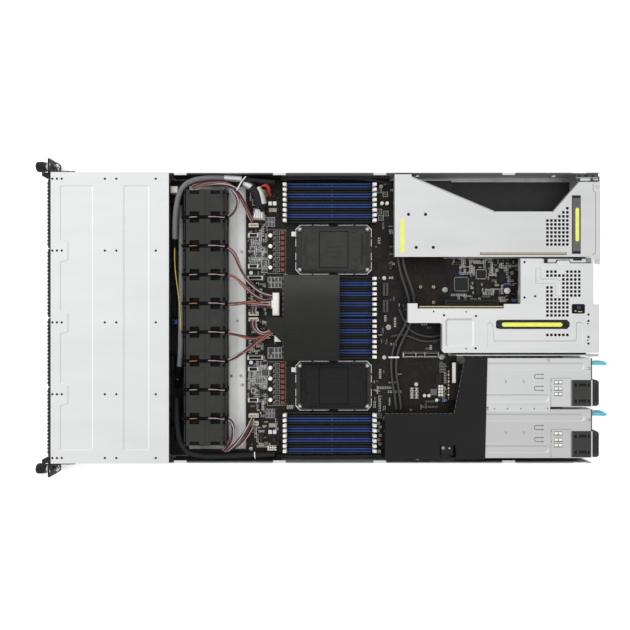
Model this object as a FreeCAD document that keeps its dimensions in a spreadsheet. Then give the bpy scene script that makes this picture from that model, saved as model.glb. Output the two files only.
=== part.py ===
import FreeCAD, Part
import math
import os
import re

import Sketcher

# One-unit rack server, seen open from above: front drive bays under a fixed
# front cover, a row of dual-rotor fans, a two-socket main board, two riser
# cages and two plug-in power supplies.
# Frame: +Z up, +X to the rear, +Y to the left side seen from the front,
# origin at the middle of the footprint on the underside. Millimetres.

V = FreeCAD.Vector
ROT = FreeCAD.Rotation
PL = FreeCAD.Placement
doc = FreeCAD.newDocument("rack_server")
sheet = doc.addObject("Spreadsheet::Sheet", "Dims")

DIMS = dict(
    chassis_w=439.5, sheet_th=1.2, wall_top=43.0, cover_top=44.0, cover_th=1.2,
    front_x=-406.5, cover_rear=-228.4, floor_rear=409.8, rear_lip=422.4,
    ear_front=-411.3, ear_th=2.2, ear_half=241.3, ear_low=0.4, ear_high=43.6,
    rack_hole_y=232.55, rack_hole_r=3.5, rack_mid_z=22.2, rack_pitch=15.875,
    knob_front=-436.65, knob_r=7.5, shaft_r=2.6, shaft_bore_r=2.66,
    bay_pitch=104.75, bezel_w=103.2, tray_w=103.1, tray_wall=0.7,
    bezel_th=10.0, bezel_low=2.2, bezel_high=42.2, tray_rear=-246.0,
    tray_low=3.2, tray_high=30.0,
    fan_front=-203.3, fan_len=56.0, fan_side=40.0, fan_low=1.7, fan_pitch=43.48,
    fan_bore_r=18.7, rotor_r=18.0, hub_r=10.5,
    board_low=7.2, board_th=2.0, board_front=-116.0, board_half=214.0,
    dimm_mid=14.5, dimm_len=128.0, dimm_w=6.2, dimm_body_h=11.0, dimm_pitch=7.87,
    latch_pivot=68.4, latch_z=12.2, latch_top=30.0, latch_w=4.5,
    socket_x=20.9, socket_y=106.0, frame_len=119.0, frame_wid=77.6,
    plate_low=42.2, plate_th=1.0,
    psu_front=223.0, psu_len=186.0, psu_w=73.5, psu_low=1.8, psu_tall=39.6,
    psu_y_one=-97.9, psu_y_two=-175.2,
)
for i, (k, v) in enumerate(DIMS.items(), 1):
    sheet.set("A%d" % i, k)
    sheet.set("B%d" % i, str(v))
    sheet.setAlias("B%d" % i, k)
doc.recompute()

NODES = {}
WORD = re.compile(r"[a-z_]+")


def val(e):
    """The number an expression of sheet cells stands for."""
    if not isinstance(e, str):
        return float(e)
    total, sign = 0.0, 1.0
    for tok in re.findall(r"[+-]|[^+-]+", e.replace(" ", "")):
        if tok == "+":
            sign = 1.0
        elif tok == "-":
            sign = -1.0
        else:
            t = 1.0
            for f in tok.split("*"):
                t *= float(sheet.get(f)) if f[0].isalpha() else float(f)
            total += sign * t
            sign = 1.0
    return total


def cellref(e):
    return WORD.sub(lambda m: "Dims." + m.group(0), e)


def setp(o, prop, e):
    if isinstance(e, str):
        o.setExpression(prop, cellref(e))
    else:
        setattr(o, prop, e)


def setbase(o, xyz, rot=None):
    o.Placement = PL(V(*[val(e) for e in xyz]), rot or ROT())
    for axis, e in zip("xyz", xyz):
        if isinstance(e, str):
            o.setExpression("Placement.Base." + axis, cellref(e))


def box(name, xyz, size):
    o = doc.addObject("Part::Box", name)
    for prop, e in zip(("Length", "Width", "Height"), size):
        setp(o, prop, e)
    setbase(o, xyz)
    return o


def span(name, x, y, z):
    """A box given by its two ends on each axis, in plain numbers."""
    return box(name, (x[0], y[0], z[0]), (x[1] - x[0], y[1] - y[0], z[1] - z[0]))


AX = {"X": ROT(V(0, 1, 0), 90), "Y": ROT(V(1, 0, 0), -90), "Z": ROT()}


def cyl(name, xyz, r, length, axis="Z"):
    o = doc.addObject("Part::Cylinder", name)
    setp(o, "Radius", r)
    setp(o, "Height", length)
    setbase(o, xyz, AX[axis])
    return o


def fuse(name, parts):
    o = doc.addObject("Part::MultiFuse", name)
    o.Shapes = parts
    return o


def cut(name, base, tools):
    if len(tools) > 1:
        t = doc.addObject("Part::Compound", name + "_tools")
        t.Links = tools
    else:
        t = tools[0]
    o = doc.addObject("Part::Cut", name)
    o.Base, o.Tool = base, t
    return o


def group(name, parts):
    o = doc.addObject("Part::Compound", name)
    o.Links = parts
    return o


def feature(name, shape):
    o = doc.addObject("Part::Feature", name)
    o.Shape = shape
    return o


def node(label, o):
    o.Label = label
    NODES[label] = o
    return o


def plane(body, role):
    return next(f for f in body.Origin.OriginFeatures if f.Role == role)


def poly(sk, pts):
    n0, n = sk.GeometryCount, len(pts)
    for i in range(n):
        a, b = pts[i], pts[(i + 1) % n]
        sk.addGeometry(Part.LineSegment(V(a[0], a[1], 0), V(b[0], b[1], 0)), False)
    for i in range(n):
        sk.addConstraint(Sketcher.Constraint("Coincident", n0 + i, 2, n0 + (i + 1) % n, 1))


def rect(x0, y0, x1, y1):
    return [(x0, y0), (x1, y0), (x1, y1), (x0, y1)]


def cham(x0, y0, x1, y1, c):
    """A rectangle with its corners cut by c."""
    return [(x0 + c, y0), (x1 - c, y0), (x1, y0 + c), (x1, y1 - c), (x1 - c, y1), (x0 + c, y1), (x0, y1 - c), (x0, y0 + c)]


def sketch(body, name, polys=(), circles=(), up=0.0):
    sk = body.newObject("Sketcher::SketchObject", name)
    sk.AttachmentSupport = [(plane(body, "XY_Plane"), "")]
    sk.MapMode = "FlatFace"
    sk.AttachmentOffset = PL(V(0, 0, up), ROT())
    for p in polys:
        poly(sk, p)
    for (x, y, r) in circles:
        sk.addGeometry(Part.Circle(V(x, y, 0), V(0, 0, 1), r), False)
    return sk


def plate(name, outer, th, xyz, rot=None, holes=(), cuts=(), recess=()):
    """A flat or padded piece: one outline, holes and windows through it, and recesses sunk from its outer face."""
    body = doc.addObject("PartDesign::Body", name)
    sk = sketch(body, name + "_outline", [outer])
    pad = body.newObject("PartDesign::Pad", name + "_pad")
    pad.Profile = sk
    setp(pad, "Length", th)
    doc.recompute()
    before = pad.Shape.Volume
    if holes or cuts:
        sk2 = sketch(body, name + "_holes", cuts, holes)
        p = body.newObject("PartDesign::Pocket", name + "_pierce")
        p.Profile = sk2
        p.Type = 0
        p.Length = val(th) + 5
        p.Reversed = True
        body.Tip = p
        doc.recompute()
        assert p.Shape.Volume < before - 1e-6, name
        before = p.Shape.Volume
    for j, (pts, depth) in enumerate(recess):
        sk3 = sketch(body, "%s_sunk%d" % (name, j), [pts], up=val(th) - depth)
        p = body.newObject("PartDesign::Pocket", "%s_recess%d" % (name, j))
        p.Profile = sk3
        p.Type = 0
        p.Length = depth + 2
        p.Reversed = True
        body.Tip = p
        doc.recompute()
        assert p.Shape.Volume < before - 1e-6, name
        before = p.Shape.Volume
    setbase(body, xyz, rot)
    return body


TO_X = ROT(V(1, 1, 1), 120)     # outline in Y and Z, thickness along +X
TO_Y = ROT(V(1, 0, 0), 90)      # outline in X and Z, thickness along -Y


# ---------------------------------------------------------------- chassis
node("chassis_floor", plate(
    "floor", [(-406.5, -219.75), (409.8, -219.75), (409.8, 91.4), (424.0, 91.4), (424.0, 219.75), (-406.5, 219.75)],
    "sheet_th", (0, 0, 0)))

walls = []
for side, sign in (("left", 1), ("right", -1)):
    rear = 424.0 if sign > 0 else val("floor_rear")
    # Notches in the top edge take the hooks of a rear cover.
    tops = [(-406.5, 42.6), (-228.2, 42.6), (-228.2, 43.0)]
    outline = [(-406.5, 1.2), (rear, 1.2), (rear, 43.0)]
    for x in (392.0, 285.0, 90.0, -62.0, -212.0):
        outline += [(x + 10, 43.0), (x + 10, 40.6), (x - 10, 40.6), (x - 10, 43.0)]
    outline += [(-228.2, 43.0), (-228.2, 42.6), (-406.5, 42.6)]
    slots = [(x, 22.0, 3.2) for x in (-330, -90, 150, 360)]
    # The keyed wall holes take the studs of a slide rail.
    walls.append(plate("wall_" + side, outline, "sheet_th", (0, 219.75 if sign > 0 else -218.55, 0), TO_Y, holes=slots))
node("side_walls", group("side_walls", walls))

# Front cover: two sunk panels, the first stepped round each row of screws.
rows_y = (209.6, 101.3, -6.9, -115.3, -211.4)
cols_x = (-404.0, -397.0, -389.8, -324.8, -307.6, -248.0)
left_edge = []
for lo, hi in ((84.7, 117.8), (-23.5, 9.6), (-131.9, -98.7)):
    left_edge += [(-392.6, hi), (-381.2, hi - 3), (-381.2, lo + 3), (-392.6, lo)]
panel1 = [(-392.6, -199.8), (-344.8, -199.8), (-342.8, -197.8), (-342.8, 197.8), (-344.8, 199.8), (-390.6, 199.8), (-392.6, 197.8)] + left_edge
panel2 = cham(-296.9, -199.8, -257.8, 199.8, 2.0)
cover_holes = [(x, y, 1.75) for x in cols_x for y in rows_y]
cover_top = plate("cover_top", rect(-406.5, -219.75, -228.4, 219.75), "cover_th", (0, 0, "cover_top-cover_th"),
                  holes=cover_holes, recess=[(panel1, 0.6), (panel2, 0.6)])
node("front_cover", cover_top)

# Bay dividers, one at each side of every carrier.
div = []
for i, k in enumerate((-2, -1, 0, 1, 2)):
    y = k * val("bay_pitch")
    div.append(plate("divider%d" % i, [(-400, 1.2), (-241, 1.2), (-241, 42.7), (-400, 42.7)], 1.2, (0, y + 0.6, 0), TO_Y,
                     holes=[(x, 22, 4.0) for x in (-260, -275)], cuts=[cham(-385, 34, -290, 38, 1.5)]))
node("drive_bay_walls", group("drive_bay_walls", div))

# Rack ears with a captive screw at the middle hole and a wedge for the front buttons.
ears = []
for side, s in (("left", 1), ("right", -1)):
    y0, y1 = sorted((s * 219.8, s * 241.3))
    hy = s * 232.55
    flange = plate("ear_flange_" + side, cham(y0, 0.4, y1, 43.6, 1.5), "ear_th", ("ear_front", 0, 0), TO_X,
                   holes=[(hy, 22.2 + 15.875, 3.5), (hy, 22.2 - 15.875, 3.5), (hy, 22.2, 2.66)])
    leg_y = sorted((s * 219.8, s * 222.0))
    leg = span("ear_leg_" + side, (-409.3, -372.0), leg_y, (4.0, 40.0))
    pts = [(-409.2, s * 219.8), (-421.0, s * 219.8), (-421.0, s * 214.3), (-411.4, s * 210.2), (-409.2, s * 210.2)]
    if s > 0:
        pts = pts[::-1]
    wedge = plate("ear_wedge_" + side, pts, 38.4, (0, 0, 2.8))
    bore = cyl("ear_bore_" + side, (-421.5, s * 217.0, 31.0), 2.1, 8.0, "X")
    ears.append(cut("ear_" + side, fuse("ear_raw_" + side, [flange, leg, wedge]), [bore]))
node("rack_ears", group("rack_ears", ears))

# Thumbscrews: knob, collar and shaft turned in one piece.
for side, s in (("left", 1), ("right", -1)):
    b = doc.addObject("PartDesign::Body", "screw_" + side)
    sk = b.newObject("Sketcher::SketchObject", "screw_profile_" + side)
    sk.AttachmentSupport = [(plane(b, "XY_Plane"), "")]
    sk.MapMode = "FlatFace"
    poly(sk, [(-436.65, 0), (-436.65, 6.6), (-435.75, 7.5), (-424.4, 7.5), (-423.5, 6.6), (-423.5, 4.6), (-411.7, 4.6),
              (-411.7, 2.6), (-404.6, 2.6), (-402.6, 1.4), (-402.6, 0)])
    rev = b.newObject("PartDesign::Revolution", "screw_turn_" + side)
    rev.Profile = sk
    rev.ReferenceAxis = (sk, ["H_Axis"])
    rev.Angle = 360
    b.Tip = rev
    setbase(b, (0, "rack_hole_y" if s > 0 else -val("rack_hole_y"), "rack_mid_z"))
    node(side + "_thumbscrew", b)

node("power_button", cyl("power_button", (-422.2, 217.0, 31.0), 1.95, 6.6, "X"))
node("id_button", cyl("id_button", (-422.2, -217.0, 31.0), 1.95, 6.6, "X"))

# ---------------------------------------------------------------- drive carriers
for n in (1, 2, 3, 4):
    yc = (2.5 - n) * val("bay_pitch")
    h = val("bezel_w") / 2
    t = val("tray_w") / 2
    w = val("tray_wall")
    bez = span("bezel%d" % n, (-411.3, -401.3), (yc - h, yc + h), (2.2, 42.2))
    # Recess for the lever, the grille field and the release button.
    lev = span("lever_room%d" % n, (-412, -405.2), (yc - 47.5, yc + 33.0), (26.0, 39.6))
    grl = span("grille_room%d" % n, (-412, -406.3), (yc - 47.5, yc + 47.5), (5.0, 24.0))
    btn = span("button_room%d" % n, (-412, -403.3), (yc + 35.6, yc + 46.4), (27.6, 38.0))
    pin = cyl("lever_pin_hole%d" % n, (-408.4, yc - 44.4, 23.9), 1.56, 17.8, "Z")
    vents = [span("vent%d_%d" % (n, j), (-407, -400), (yc - 44 + 15.0 * j, yc - 32 + 15.0 * j), (7.0, 22.0)) for j in range(6)]
    front = cut("bezel_cut%d" % n, bez, [lev, grl, btn, pin] + vents)
    floor_ = span("tray_floor%d" % n, (-401.4, -246.0), (yc - t, yc + t), (3.2, 4.2))
    left = span("tray_left%d" % n, (-401.4, -246.0), (yc + t - w, yc + t), (3.2, 30.0))
    right = span("tray_right%d" % n, (-401.4, -246.0), (yc - t, yc - t + w), (3.2, 30.0))
    node("drive_carrier_%d" % n, fuse("carrier%d" % n, [front, floor_, left, right]))
    bar = span("lever_bar%d" % n, (-410.9, -406.0), (yc - 44.4, yc + 32.5), (26.4, 39.2))
    nose = cyl("lever_nose%d" % n, (-408.4, yc - 44.4, 26.4), 2.45, 12.8, "Z")
    pivot = cyl("lever_pin%d" % n, (-408.4, yc - 44.4, 24.3), 1.5, 17.0, "Z")
    node("carrier_lever_%d" % n, fuse("lever%d" % n, [bar, nose, pivot]))
    node("carrier_button_%d" % n, plate("button%d" % n, cham(yc + 36.0, 28.0, yc + 46.0, 37.6, 0.8), 7.0, (-412.2, 0, 0), TO_X))

bp_cuts = []
for n in (1, 2, 3, 4):
    yc = (2.5 - n) * val("bay_pitch")
    bp_cuts += [cham(yc - 46, 24, yc - 2, 38, 2), cham(yc + 2, 24, yc + 46, 38, 2)]
bp = plate("backplane_board", rect(-212, 3.0, 212, 41.5), 2.0, (-238.0, 0, 0), TO_X, cuts=bp_cuts)
bp_con = [span("sas%d" % n, (-243.5, -238.0), ((2.5 - n) * 104.75 - 22, (2.5 - n) * 104.75 + 22), (7.0, 14.5)) for n in (1, 2, 3, 4)]
bp_pwr = [span("bp_power%d" % j, (-236.0, -226.0), (y - 11, y + 11), (8.0, 18.0)) for j, y in enumerate((190, 60, -70, -180))]
node("drive_backplane", fuse("backplane", [bp] + bp_con + bp_pwr))

# ---------------------------------------------------------------- fans
fan_y = [(4 - i) * val("fan_pitch") for i in range(9)]
wins = [cham(y - 18.6, 3.4, y + 18.6, 40.0, 5.0) for y in fan_y]
cage_f = plate("cage_front", rect(-194.6, 1.2, 194.6, 43.0), 1.2, (-205.6, 0, 0), TO_X, cuts=wins)
cage_r = plate("cage_rear", rect(-194.6, 1.2, 194.6, 43.0), 1.2, (-146.0, 0, 0), TO_X, cuts=wins)
node("fan_cage", group("fan_cage", [cage_f, cage_r]))

one = box("fan_block", ("fan_front", -20, "fan_low"), ("fan_len", "fan_side", "fan_side"))
tools = [cyl("fan_bore", (-210, 0, "fan_low+0.5*fan_side"), "fan_bore_r", 70, "X")]
for a, b in ((-197.6, -182.9), (-166.0, -151.3)):
    for z in ((37.2, 42.0), (1.4, 6.2)):
        tools.append(span("fan_corner", (a, b), (-20.1, -13.2), z))
        tools.append(span("fan_corner", (a, b), (13.2, 20.1), z))
shell = cut("fan_shell", one, tools)
stator = cyl("fan_stator", (-179.0, 0, "fan_low+0.5*fan_side"), 10.5, 7.4, "X")
struts = [box("fan_strut_a", (-177.0, -19.0, 21.0), (3.4, 38.0, 1.4)), box("fan_strut_b", (-177.0, -0.7, 2.7), (3.4, 1.4, 38.0))]
axle = cyl("fan_axle", (-200.0, 0, "fan_low+0.5*fan_side"), 1.5, 49.4, "X")
fan = fuse("fan_master", [shell, stator, axle] + struts)
doc.recompute()
node("fan_frames", feature("fan_frames", Part.makeCompound([fan.Shape.translated(V(0, y, 0)) for y in fan_y])))


def impeller(x0, pitch):
    """A hub with seven raked flat blades, bored for the fan's axle."""
    c = V(x0, 0, 21.7)
    xdir = V(1, 0, 0)
    body = Part.makeCylinder(val("hub_r"), 21.0, c, xdir)
    blades = []
    for k in range(7):
        bl = Part.makeBox(21.0, 1.2, 10.0, V(-10.5, -0.6, 9.5))
        bl.rotate(V(0, 0, 0), V(0, 0, 1), pitch)
        bl.rotate(V(0, 0, 0), xdir, 360.0 / 7 * k)
        bl.translate(V(x0 + 10.5, 0, 21.7))
        blades.append(bl)
    ring = Part.makeCylinder(val("rotor_r"), 21.0, c, xdir)
    solid = body.fuse(blades).common(ring).removeSplitter()
    return solid.cut(Part.makeCylinder(1.58, 30, V(x0 - 4, 0, 21.7), xdir))


imp_a, imp_b = impeller(-201.5, 38.0), impeller(-170.1, -38.0)
for i, y in enumerate(fan_y, 1):
    both = Part.makeCompound([imp_a.translated(V(0, y, 0)), imp_b.translated(V(0, y, 0))])
    node("fan_rotor_%d" % i, feature("rotor%d" % i, both))

# ---------------------------------------------------------------- main board
top = val("board_low") + val("board_th")
board_pts = [(-116, -212), (214, -212), (214, -60), (200, -60), (200, -54), (407.5, -54), (407.5, 106), (205, 106), (205, 214), (-116, 214)]
board_screws = [(-108, 205), (-108, 70), (-108, -70), (-108, -205), (95, 205), (100, 62), (100, -62), (92, -209.3), (196, 95), (300, 70), (300, -46), (150, -104)]
node("motherboard", plate("board", board_pts, "board_th", (0, 0, "board_low"), holes=[(x, y, 1.9) for x, y in board_screws]))


def slot_rows():
    for i in range(8):
        for s in (1, -1):
            yield s * (149.6 + 7.87 * i), i % 2 == 1
            yield s * (5.1 + 7.87 * i), i % 2 == 0


m, L = val("dimm_mid"), val("dimm_len")
body = Part.makeBox(L, 6.2, 11.0, V(m - L / 2, -3.1, top))
body = body.cut(Part.makeBox(L + 2, 1.7, 8.0, V(m - L / 2 - 1, -0.85, top + 4.0)))
cheeks = []
for sx in (1, -1):
    x0 = m + sx * L / 2 - (0.2 if sx > 0 else 7.6)
    for y in (-3.1, 2.4):
        cheeks.append(Part.makeBox(7.8, 0.7, 9.5, V(x0, y, top)))
body = body.fuse(cheeks).removeSplitter()
key = Part.makeBox(1.6, 2.0, 7.0, V(m + 3.0, -1.0, top + 3.9))
body = body.fuse(key).removeSplitter()
blue = [y for y, c in slot_rows() if c]
black = [y for y, c in slot_rows() if not c]
node("dimm_slots_blue", feature("dimm_slots_blue", Part.makeCompound([body.translated(V(0, y, 0)) for y in blue])))
node("dimm_slots_black", feature("dimm_slots_black", Part.makeCompound([body.translated(V(0, y, 0)) for y in black])))


def latch(sx):
    """A module latch: a round foot on its pivot, a stem and a hooked head."""
    p = m + sx * val("latch_pivot")
    w, zp, zt = val("latch_w"), val("latch_z"), val("latch_top")
    pts = [(p - sx * 1.9, zp), (p - sx * 1.9, 20.0), (p - sx * 2.6, 22.4), (p - sx * 2.6, 27.0), (p - sx * 1.2, zt),
           (p + sx * 3.4, zt), (p + sx * 3.4, 26.6), (p + sx * 1.9, 24.6), (p + sx * 1.9, zp)]
    f = Part.Face(Part.makePolygon([V(a, -w / 2, b) for a, b in pts + pts[:1]]))
    stem = f.extrude(V(0, w, 0))
    foot = Part.makeCylinder(2.3, w, V(p, -w / 2, zp), V(0, 1, 0))
    return stem.fuse(foot).removeSplitter()


rows = [y for y, c in slot_rows()]
for label, sx in (("dimm_latches_front", -1), ("dimm_latches_rear", 1)):
    one_latch = latch(sx)
    node(label, feature(label, Part.makeCompound([one_latch.translated(V(0, y, 0)) for y in rows])))

# Processor sockets: a steel loading frame with four studs round a socket body, under a lift-off cover.
frames = []
for n, s in ((1, 1), (2, -1)):
    cx, cy = val("socket_x"), s * val("socket_y")
    ring = plate("load_frame%d" % n, cham(cx - 59.5, cy - 38.8, cx + 59.5, cy + 38.8, 7.0), 3.4, (0, 0, top),
                 cuts=[cham(cx - 46.0, cy - 33.0, cx + 46.0, cy + 33.0, 3.0)])
    studs = [cyl("stud%d" % n, (cx + a * 52.5, cy + b * 31.5, top + 3.3), 3.0, 4.2, "Z") for a in (1, -1) for b in (1, -1)]
    frames.append(fuse("frame_studs%d" % n, [ring] + studs))
    frames.append(plate("socket_body%d" % n, cham(cx - 44.0, cy - 31.5, cx + 44.0, cy + 31.5, 2.0), 3.6, (0, 0, top),
                        recess=[(rect(cx - 36, cy - 25, cx + 36, cy + 25), 1.6)]))
    lid = plate("cover_plate%d" % n, [(cx - 52.5, cy - 25.5), (cx - 46, cy - 34.5), (cx + 46, cy - 34.5), (cx + 52.5, cy - 25.5), (cx + 52.5, cy + 25.5), (cx + 46, cy + 34.5), (cx - 46, cy + 34.5), (cx - 52.5, cy + 25.5)],
                3.2, (0, 0, top + 3.8), recess=[(rect(cx - 22.5, cy - 28.5, cx + 22.5, cy + 28.5), 0.7)])
    rib = [span("cover_rib%d" % n, (cx + a - 0.8, cx + a + 0.8), (cy - 24, cy + 24), (top + 6.9, top + 8.6)) for a in (-44, 44)]
    node("socket_cover_%d" % n, fuse("socket_cover%d" % n, [lid] + rib))
node("cpu_socket_frames", group("cpu_socket_frames", frames))

# Air guides: folded black sheet over the middle memory banks and in front of the power supplies.
mid = plate("mid_sheet", [(-56.5, -64.8), (29.3, -64.8), (29.3, 64.8), (-56.5, 64.8), (-56.5, 1.0), (-81.5, 1.0), (-81.5, -14.0), (-59.5, -36.0), (-56.5, -36.0)], 1.0, (0, 0, 39.6))
mid_skirts = [span("mid_skirt%d" % j, (-48.0, 29.3), y, (top, 39.7)) for j, y in enumerate(((63.8, 64.8), (-64.8, -63.8)))]
node("center_air_baffle", fuse("mid_baffle", [mid] + mid_skirts))
duct = plate("duct_sheet", [(97.7, -214.0), (248.9, -214.0), (252.5, -59.6), (218.2, -59.6), (201.7, -144.5), (97.7, -144.5)], 0.8, (0, 0, 41.9),
             cuts=[rect(180.5, -210.5, 204.5, -192.5)])
duct_legs = [span("duct_leg%d" % j, (97.7, 104.0), y, (top, 42.0)) for j, y in enumerate(((-147.0, -144.5), (-213.9, -208.6)))]
duct_skirt = [span("duct_skirt", (104.0, 199.0), (-145.5, -144.5), (24.0, 42.0))]
node("psu_air_baffle", fuse("duct_baffle", [duct] + duct_legs + duct_skirt))

# ---------------------------------------------------------------- riser cages


def prisms(name, outlines, z0, z1):
    """Upright prisms on flat outlines, used to pierce or sink a plate."""
    out = []
    for pts in outlines:
        f = Part.Face(Part.makePolygon([V(x, y, z0) for x, y in pts + pts[:1]]))
        out.append(f.extrude(V(0, 0, z1 - z0)))
    return feature(name, Part.makeCompound(out))


def vents(name, spots):
    """Square vent holes with clipped corners."""
    return prisms(name, [cham(x - 2.0, y - 2.0, x + 2.0, y + 2.0, 0.7) for x, y in spots], 41.0, 44.0)


r1x = (342.6, 348.6, 354.6, 360.6, 366.6, 372.6)
r1y = (110.6, 116.7, 122.8, 128.8, 134.9, 140.9, 146.8, 153.0, 159.0, 165.2)
vent1 = [(x, y) for x in r1x for y in r1y if not ((y > 150 and x < 360) or (y > 156 and x < 366) or (y > 162 and x < 372))]
r1 = [(133.0, 156.0, 1.9), (158.7, 156.0, 1.9), (144.6, 106.2, 1.9), (170.3, 106.2, 1.9)]
top1 = plate("cage1_top", [(112.2, 92.0), (422.4, 92.0), (422.4, 204.9), (391.6, 204.9), (353.0, 161.0), (350.0, 159.5), (264.5, 159.5), (261.0, 160.3), (137.8, 212.0), (137.5, 216.5), (112.2, 216.5)],
             "plate_th", (0, 0, "plate_low"), holes=r1, cuts=[rect(379.4, 96.4, 392.9, 184.8), rect(240.8, 94.9, 371.6, 98.4)])
side1 = span("cage1_side", (196.0, 422.4), (92.0, 93.2), (11.0, 42.4))
front1 = span("cage1_front", (112.2, 113.4), (92.0, 216.5), (30.0, 42.4))
back1 = plate("cage1_back", rect(92.0, 3.0, 214.0, 42.5), 1.2, (421.2, 0, 0), TO_X,
              cuts=[cham(100.0 + 6.7 * i, z, 103.4 + 6.7 * i, z + 12.0, 1.0) for i in range(16) for z in (6.4, 24.6)])
lugs1 = [span("cage1_lug", (380.0, 384.0), y, (39.6, 42.3)) for y in ((92.6, 96.4), (184.8, 188.2))]
pin1 = cyl("cage1_pin_hole", (382.0, 93.4, 41.3), 0.86, 95.0, "Y")
node("riser_bracket_1", cut("cage1", fuse("cage1_raw", [top1, side1, front1, back1] + lugs1), [pin1, vents("cage1_vents", vent1)]))
card1 = plate("card1_board", [(201.5, 19.0), (241.5, 19.0), (241.5, 12.0), (330.0, 12.0), (330.0, 19.0), (371.0, 19.0), (371.0, 43.4), (241.5, 43.4), (241.5, 41.6), (201.5, 41.6)], 1.6, (0, 97.5, 0), TO_Y)
con1 = cut("card1_slot", span("card1_block", (262.0, 352.0), (97.5, 108.5), (24.0, 31.5)), [span("card1_groove", (264.0, 350.0), (100.5, 108.6), (26.8, 28.7))])
node("riser_card_1", fuse("card1", [card1, con1]))
strip1 = plate("latch1_strip", rect(381.0, 97.0, 392.3, 184.2), 2.4, (0, 0, 41.2))
barrel1 = cyl("latch1_barrel", (382.0, 97.0, 41.3), 1.5, 87.2, "Y")
axle1 = cyl("latch1_pin", (382.0, 94.4, 41.3), 0.8, 92.4, "Y")
node("riser_latch_1", fuse("latch1", [strip1, barrel1, axle1]))

r2x = (342.6, 348.6, 354.6, 360.6, 366.6, 372.6, 378.6, 384.6, 390.6)
r2rows = {69.6: (0, 1, 2, 5, 6, 7, 8), 63.7: range(9), 57.8: (4, 5, 6, 7, 8), 51.8: (4, 5, 6, 7, 8), 45.7: (0, 1, 4, 5, 6, 7, 8), 39.7: (0, 1, 4, 5, 6, 7, 8),
          33.7: (0, 1, 4, 5, 6, 7, 8), 27.7: range(6), 21.7: range(6), 15.7: range(6), 9.6: range(6), 3.6: range(6), -25.9: range(6)}
vent2 = [(r2x[i], y) for y, ids in r2rows.items() for i in ids]
r2 = [(308.0, 84.0, 1.3), (308.0, 30.5, 1.3), (324.0, 32.5, 1.5), (171.0, 9.5, 1.2), (220.0, 9.0, 1.2), (220.0, -46.5, 1.2), (403.5, -9.0, 1.2), (403.5, -34.0, 1.2)]
hand = [(267.5, -16.9), (372.1, -16.9), (376.1, -12.9), (376.1, -7.0), (372.1, -3.0), (267.5, -3.0), (265.0, -5.5), (265.0, -14.4)]
bead1 = [(325.0, 75.0), (330.5, 75.0), (332.5, 73.0), (332.5, 60.0), (334.0, 58.5), (358.0, 58.5), (361.5, 55.0), (361.5, 33.0), (355.0, 33.0), (355.0, 50.0), (353.0, 52.0), (325.0, 52.0)]
bead2 = [(262.0, -35.0), (384.0, -35.0), (386.0, -33.0), (386.0, -9.0), (388.0, -7.0), (393.5, -7.0), (396.0, -9.5), (396.0, -41.5), (394.0, -43.5), (252.0, -43.5), (252.0, -10.0), (256.0, -6.5), (260.0, -10.0)]
top2 = plate("cage2_top", [(131.4, -5.6), (133.6, -7.8), (180.0, -7.8), (182.2, -8.8), (183.2, -11.0), (183.2, -49.3), (186.6, -52.8), (421.0, -52.8), (421.0, 20.6), (412.0, 20.6), (412.0, 90.0), (409.0, 90.0), (409.0, 82.2), (377.0, 82.2), (375.0, 86.4), (358.0, 86.4), (356.0, 82.2), (334.0, 82.2), (334.0, 90.0), (301.4, 90.0), (301.4, 20.8), (276.8, 20.8), (276.8, 13.9), (146.6, 13.9), (146.6, 21.7), (131.4, 21.7)],
             "plate_th", (0, 0, "plate_low"), holes=r2, cuts=[hand, cham(379.2, 6.2, 399.3, 20.8, 1.5)],
             recess=[(bead1, 0.3), (bead2, 0.3)])
# The pressed square is sunk deeper than the sheet is thick, so its floor bulges below.
bulge2 = plate("cage2_bulge", cham(187.6, -45.1, 233.6, 0.1, 3.6), 1.0, (0, 0, 41.25))
sunk2 = prisms("cage2_square", [cham(189.4, -43.3, 231.8, -1.7, 3.0)], 42.05, 44.0)
side2 = plate("cage2_side", rect(150.0, 19.2, 276.8, 42.4), 1.2, (0, 14.2, 0), TO_Y, cuts=[rect(181.2, 23.2, 272.8, 32.3)])
back2 = plate("cage2_back", rect(-52.8, 25.2, 90.0, 42.5), 1.2, (410.6, 0, 0), TO_X, cuts=[cham(-44.0 + 6.4 * i, 27.6, -40.6 + 6.4 * i, 39.6, 1.0) for i in range(20)])
edge2 = span("cage2_edge", (186.6, 411.2), (-52.8, -51.6), (30.0, 42.4))
lugs2 = [span("cage2_lug", (266.6, 270.6), y, (39.4, 42.3)) for y in ((-20.0, -16.4), (-3.5, 0.2))]
pin2 = cyl("cage2_pin_hole", (268.6, -21.0, 41.2), 0.86, 22.0, "Y")
node("riser_bracket_2", cut("cage2", fuse("cage2_raw", [top2, side2, back2, edge2, bulge2] + lugs2), [pin2, vents("cage2_vents", vent2), sunk2]))
card2 = plate("card2_board", [(149.5, 19.0), (180.0, 19.0), (180.0, 12.0), (268.0, 12.0), (268.0, 19.0), (276.4, 19.0), (276.4, 43.4), (149.5, 43.4)], 1.6, (0, 17.6, 0), TO_Y)
con2 = cut("card2_slot", span("card2_block", (182.0, 272.0), (3.0, 16.1), (24.0, 31.5)), [span("card2_groove", (184.0, 270.0), (2.9, 9.0), (26.8, 28.7))])
node("riser_card_2", fuse("card2", [card2, con2]))
grip2 = plate("handle2_bar", cham(266.4, -16.3, 375.4, -3.6, 4.0), 2.4, (0, 0, 41.1))
cuff2 = cyl("handle2_barrel", (268.6, -12.4, 41.2), 1.5, 4.9, "Y")
pegs2 = cyl("handle2_pin", (268.6, -18.6, 41.2), 0.8, 17.3, "Y")
node("riser_handle_2", fuse("handle2", [grip2, cuff2, pegs2]))

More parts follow.
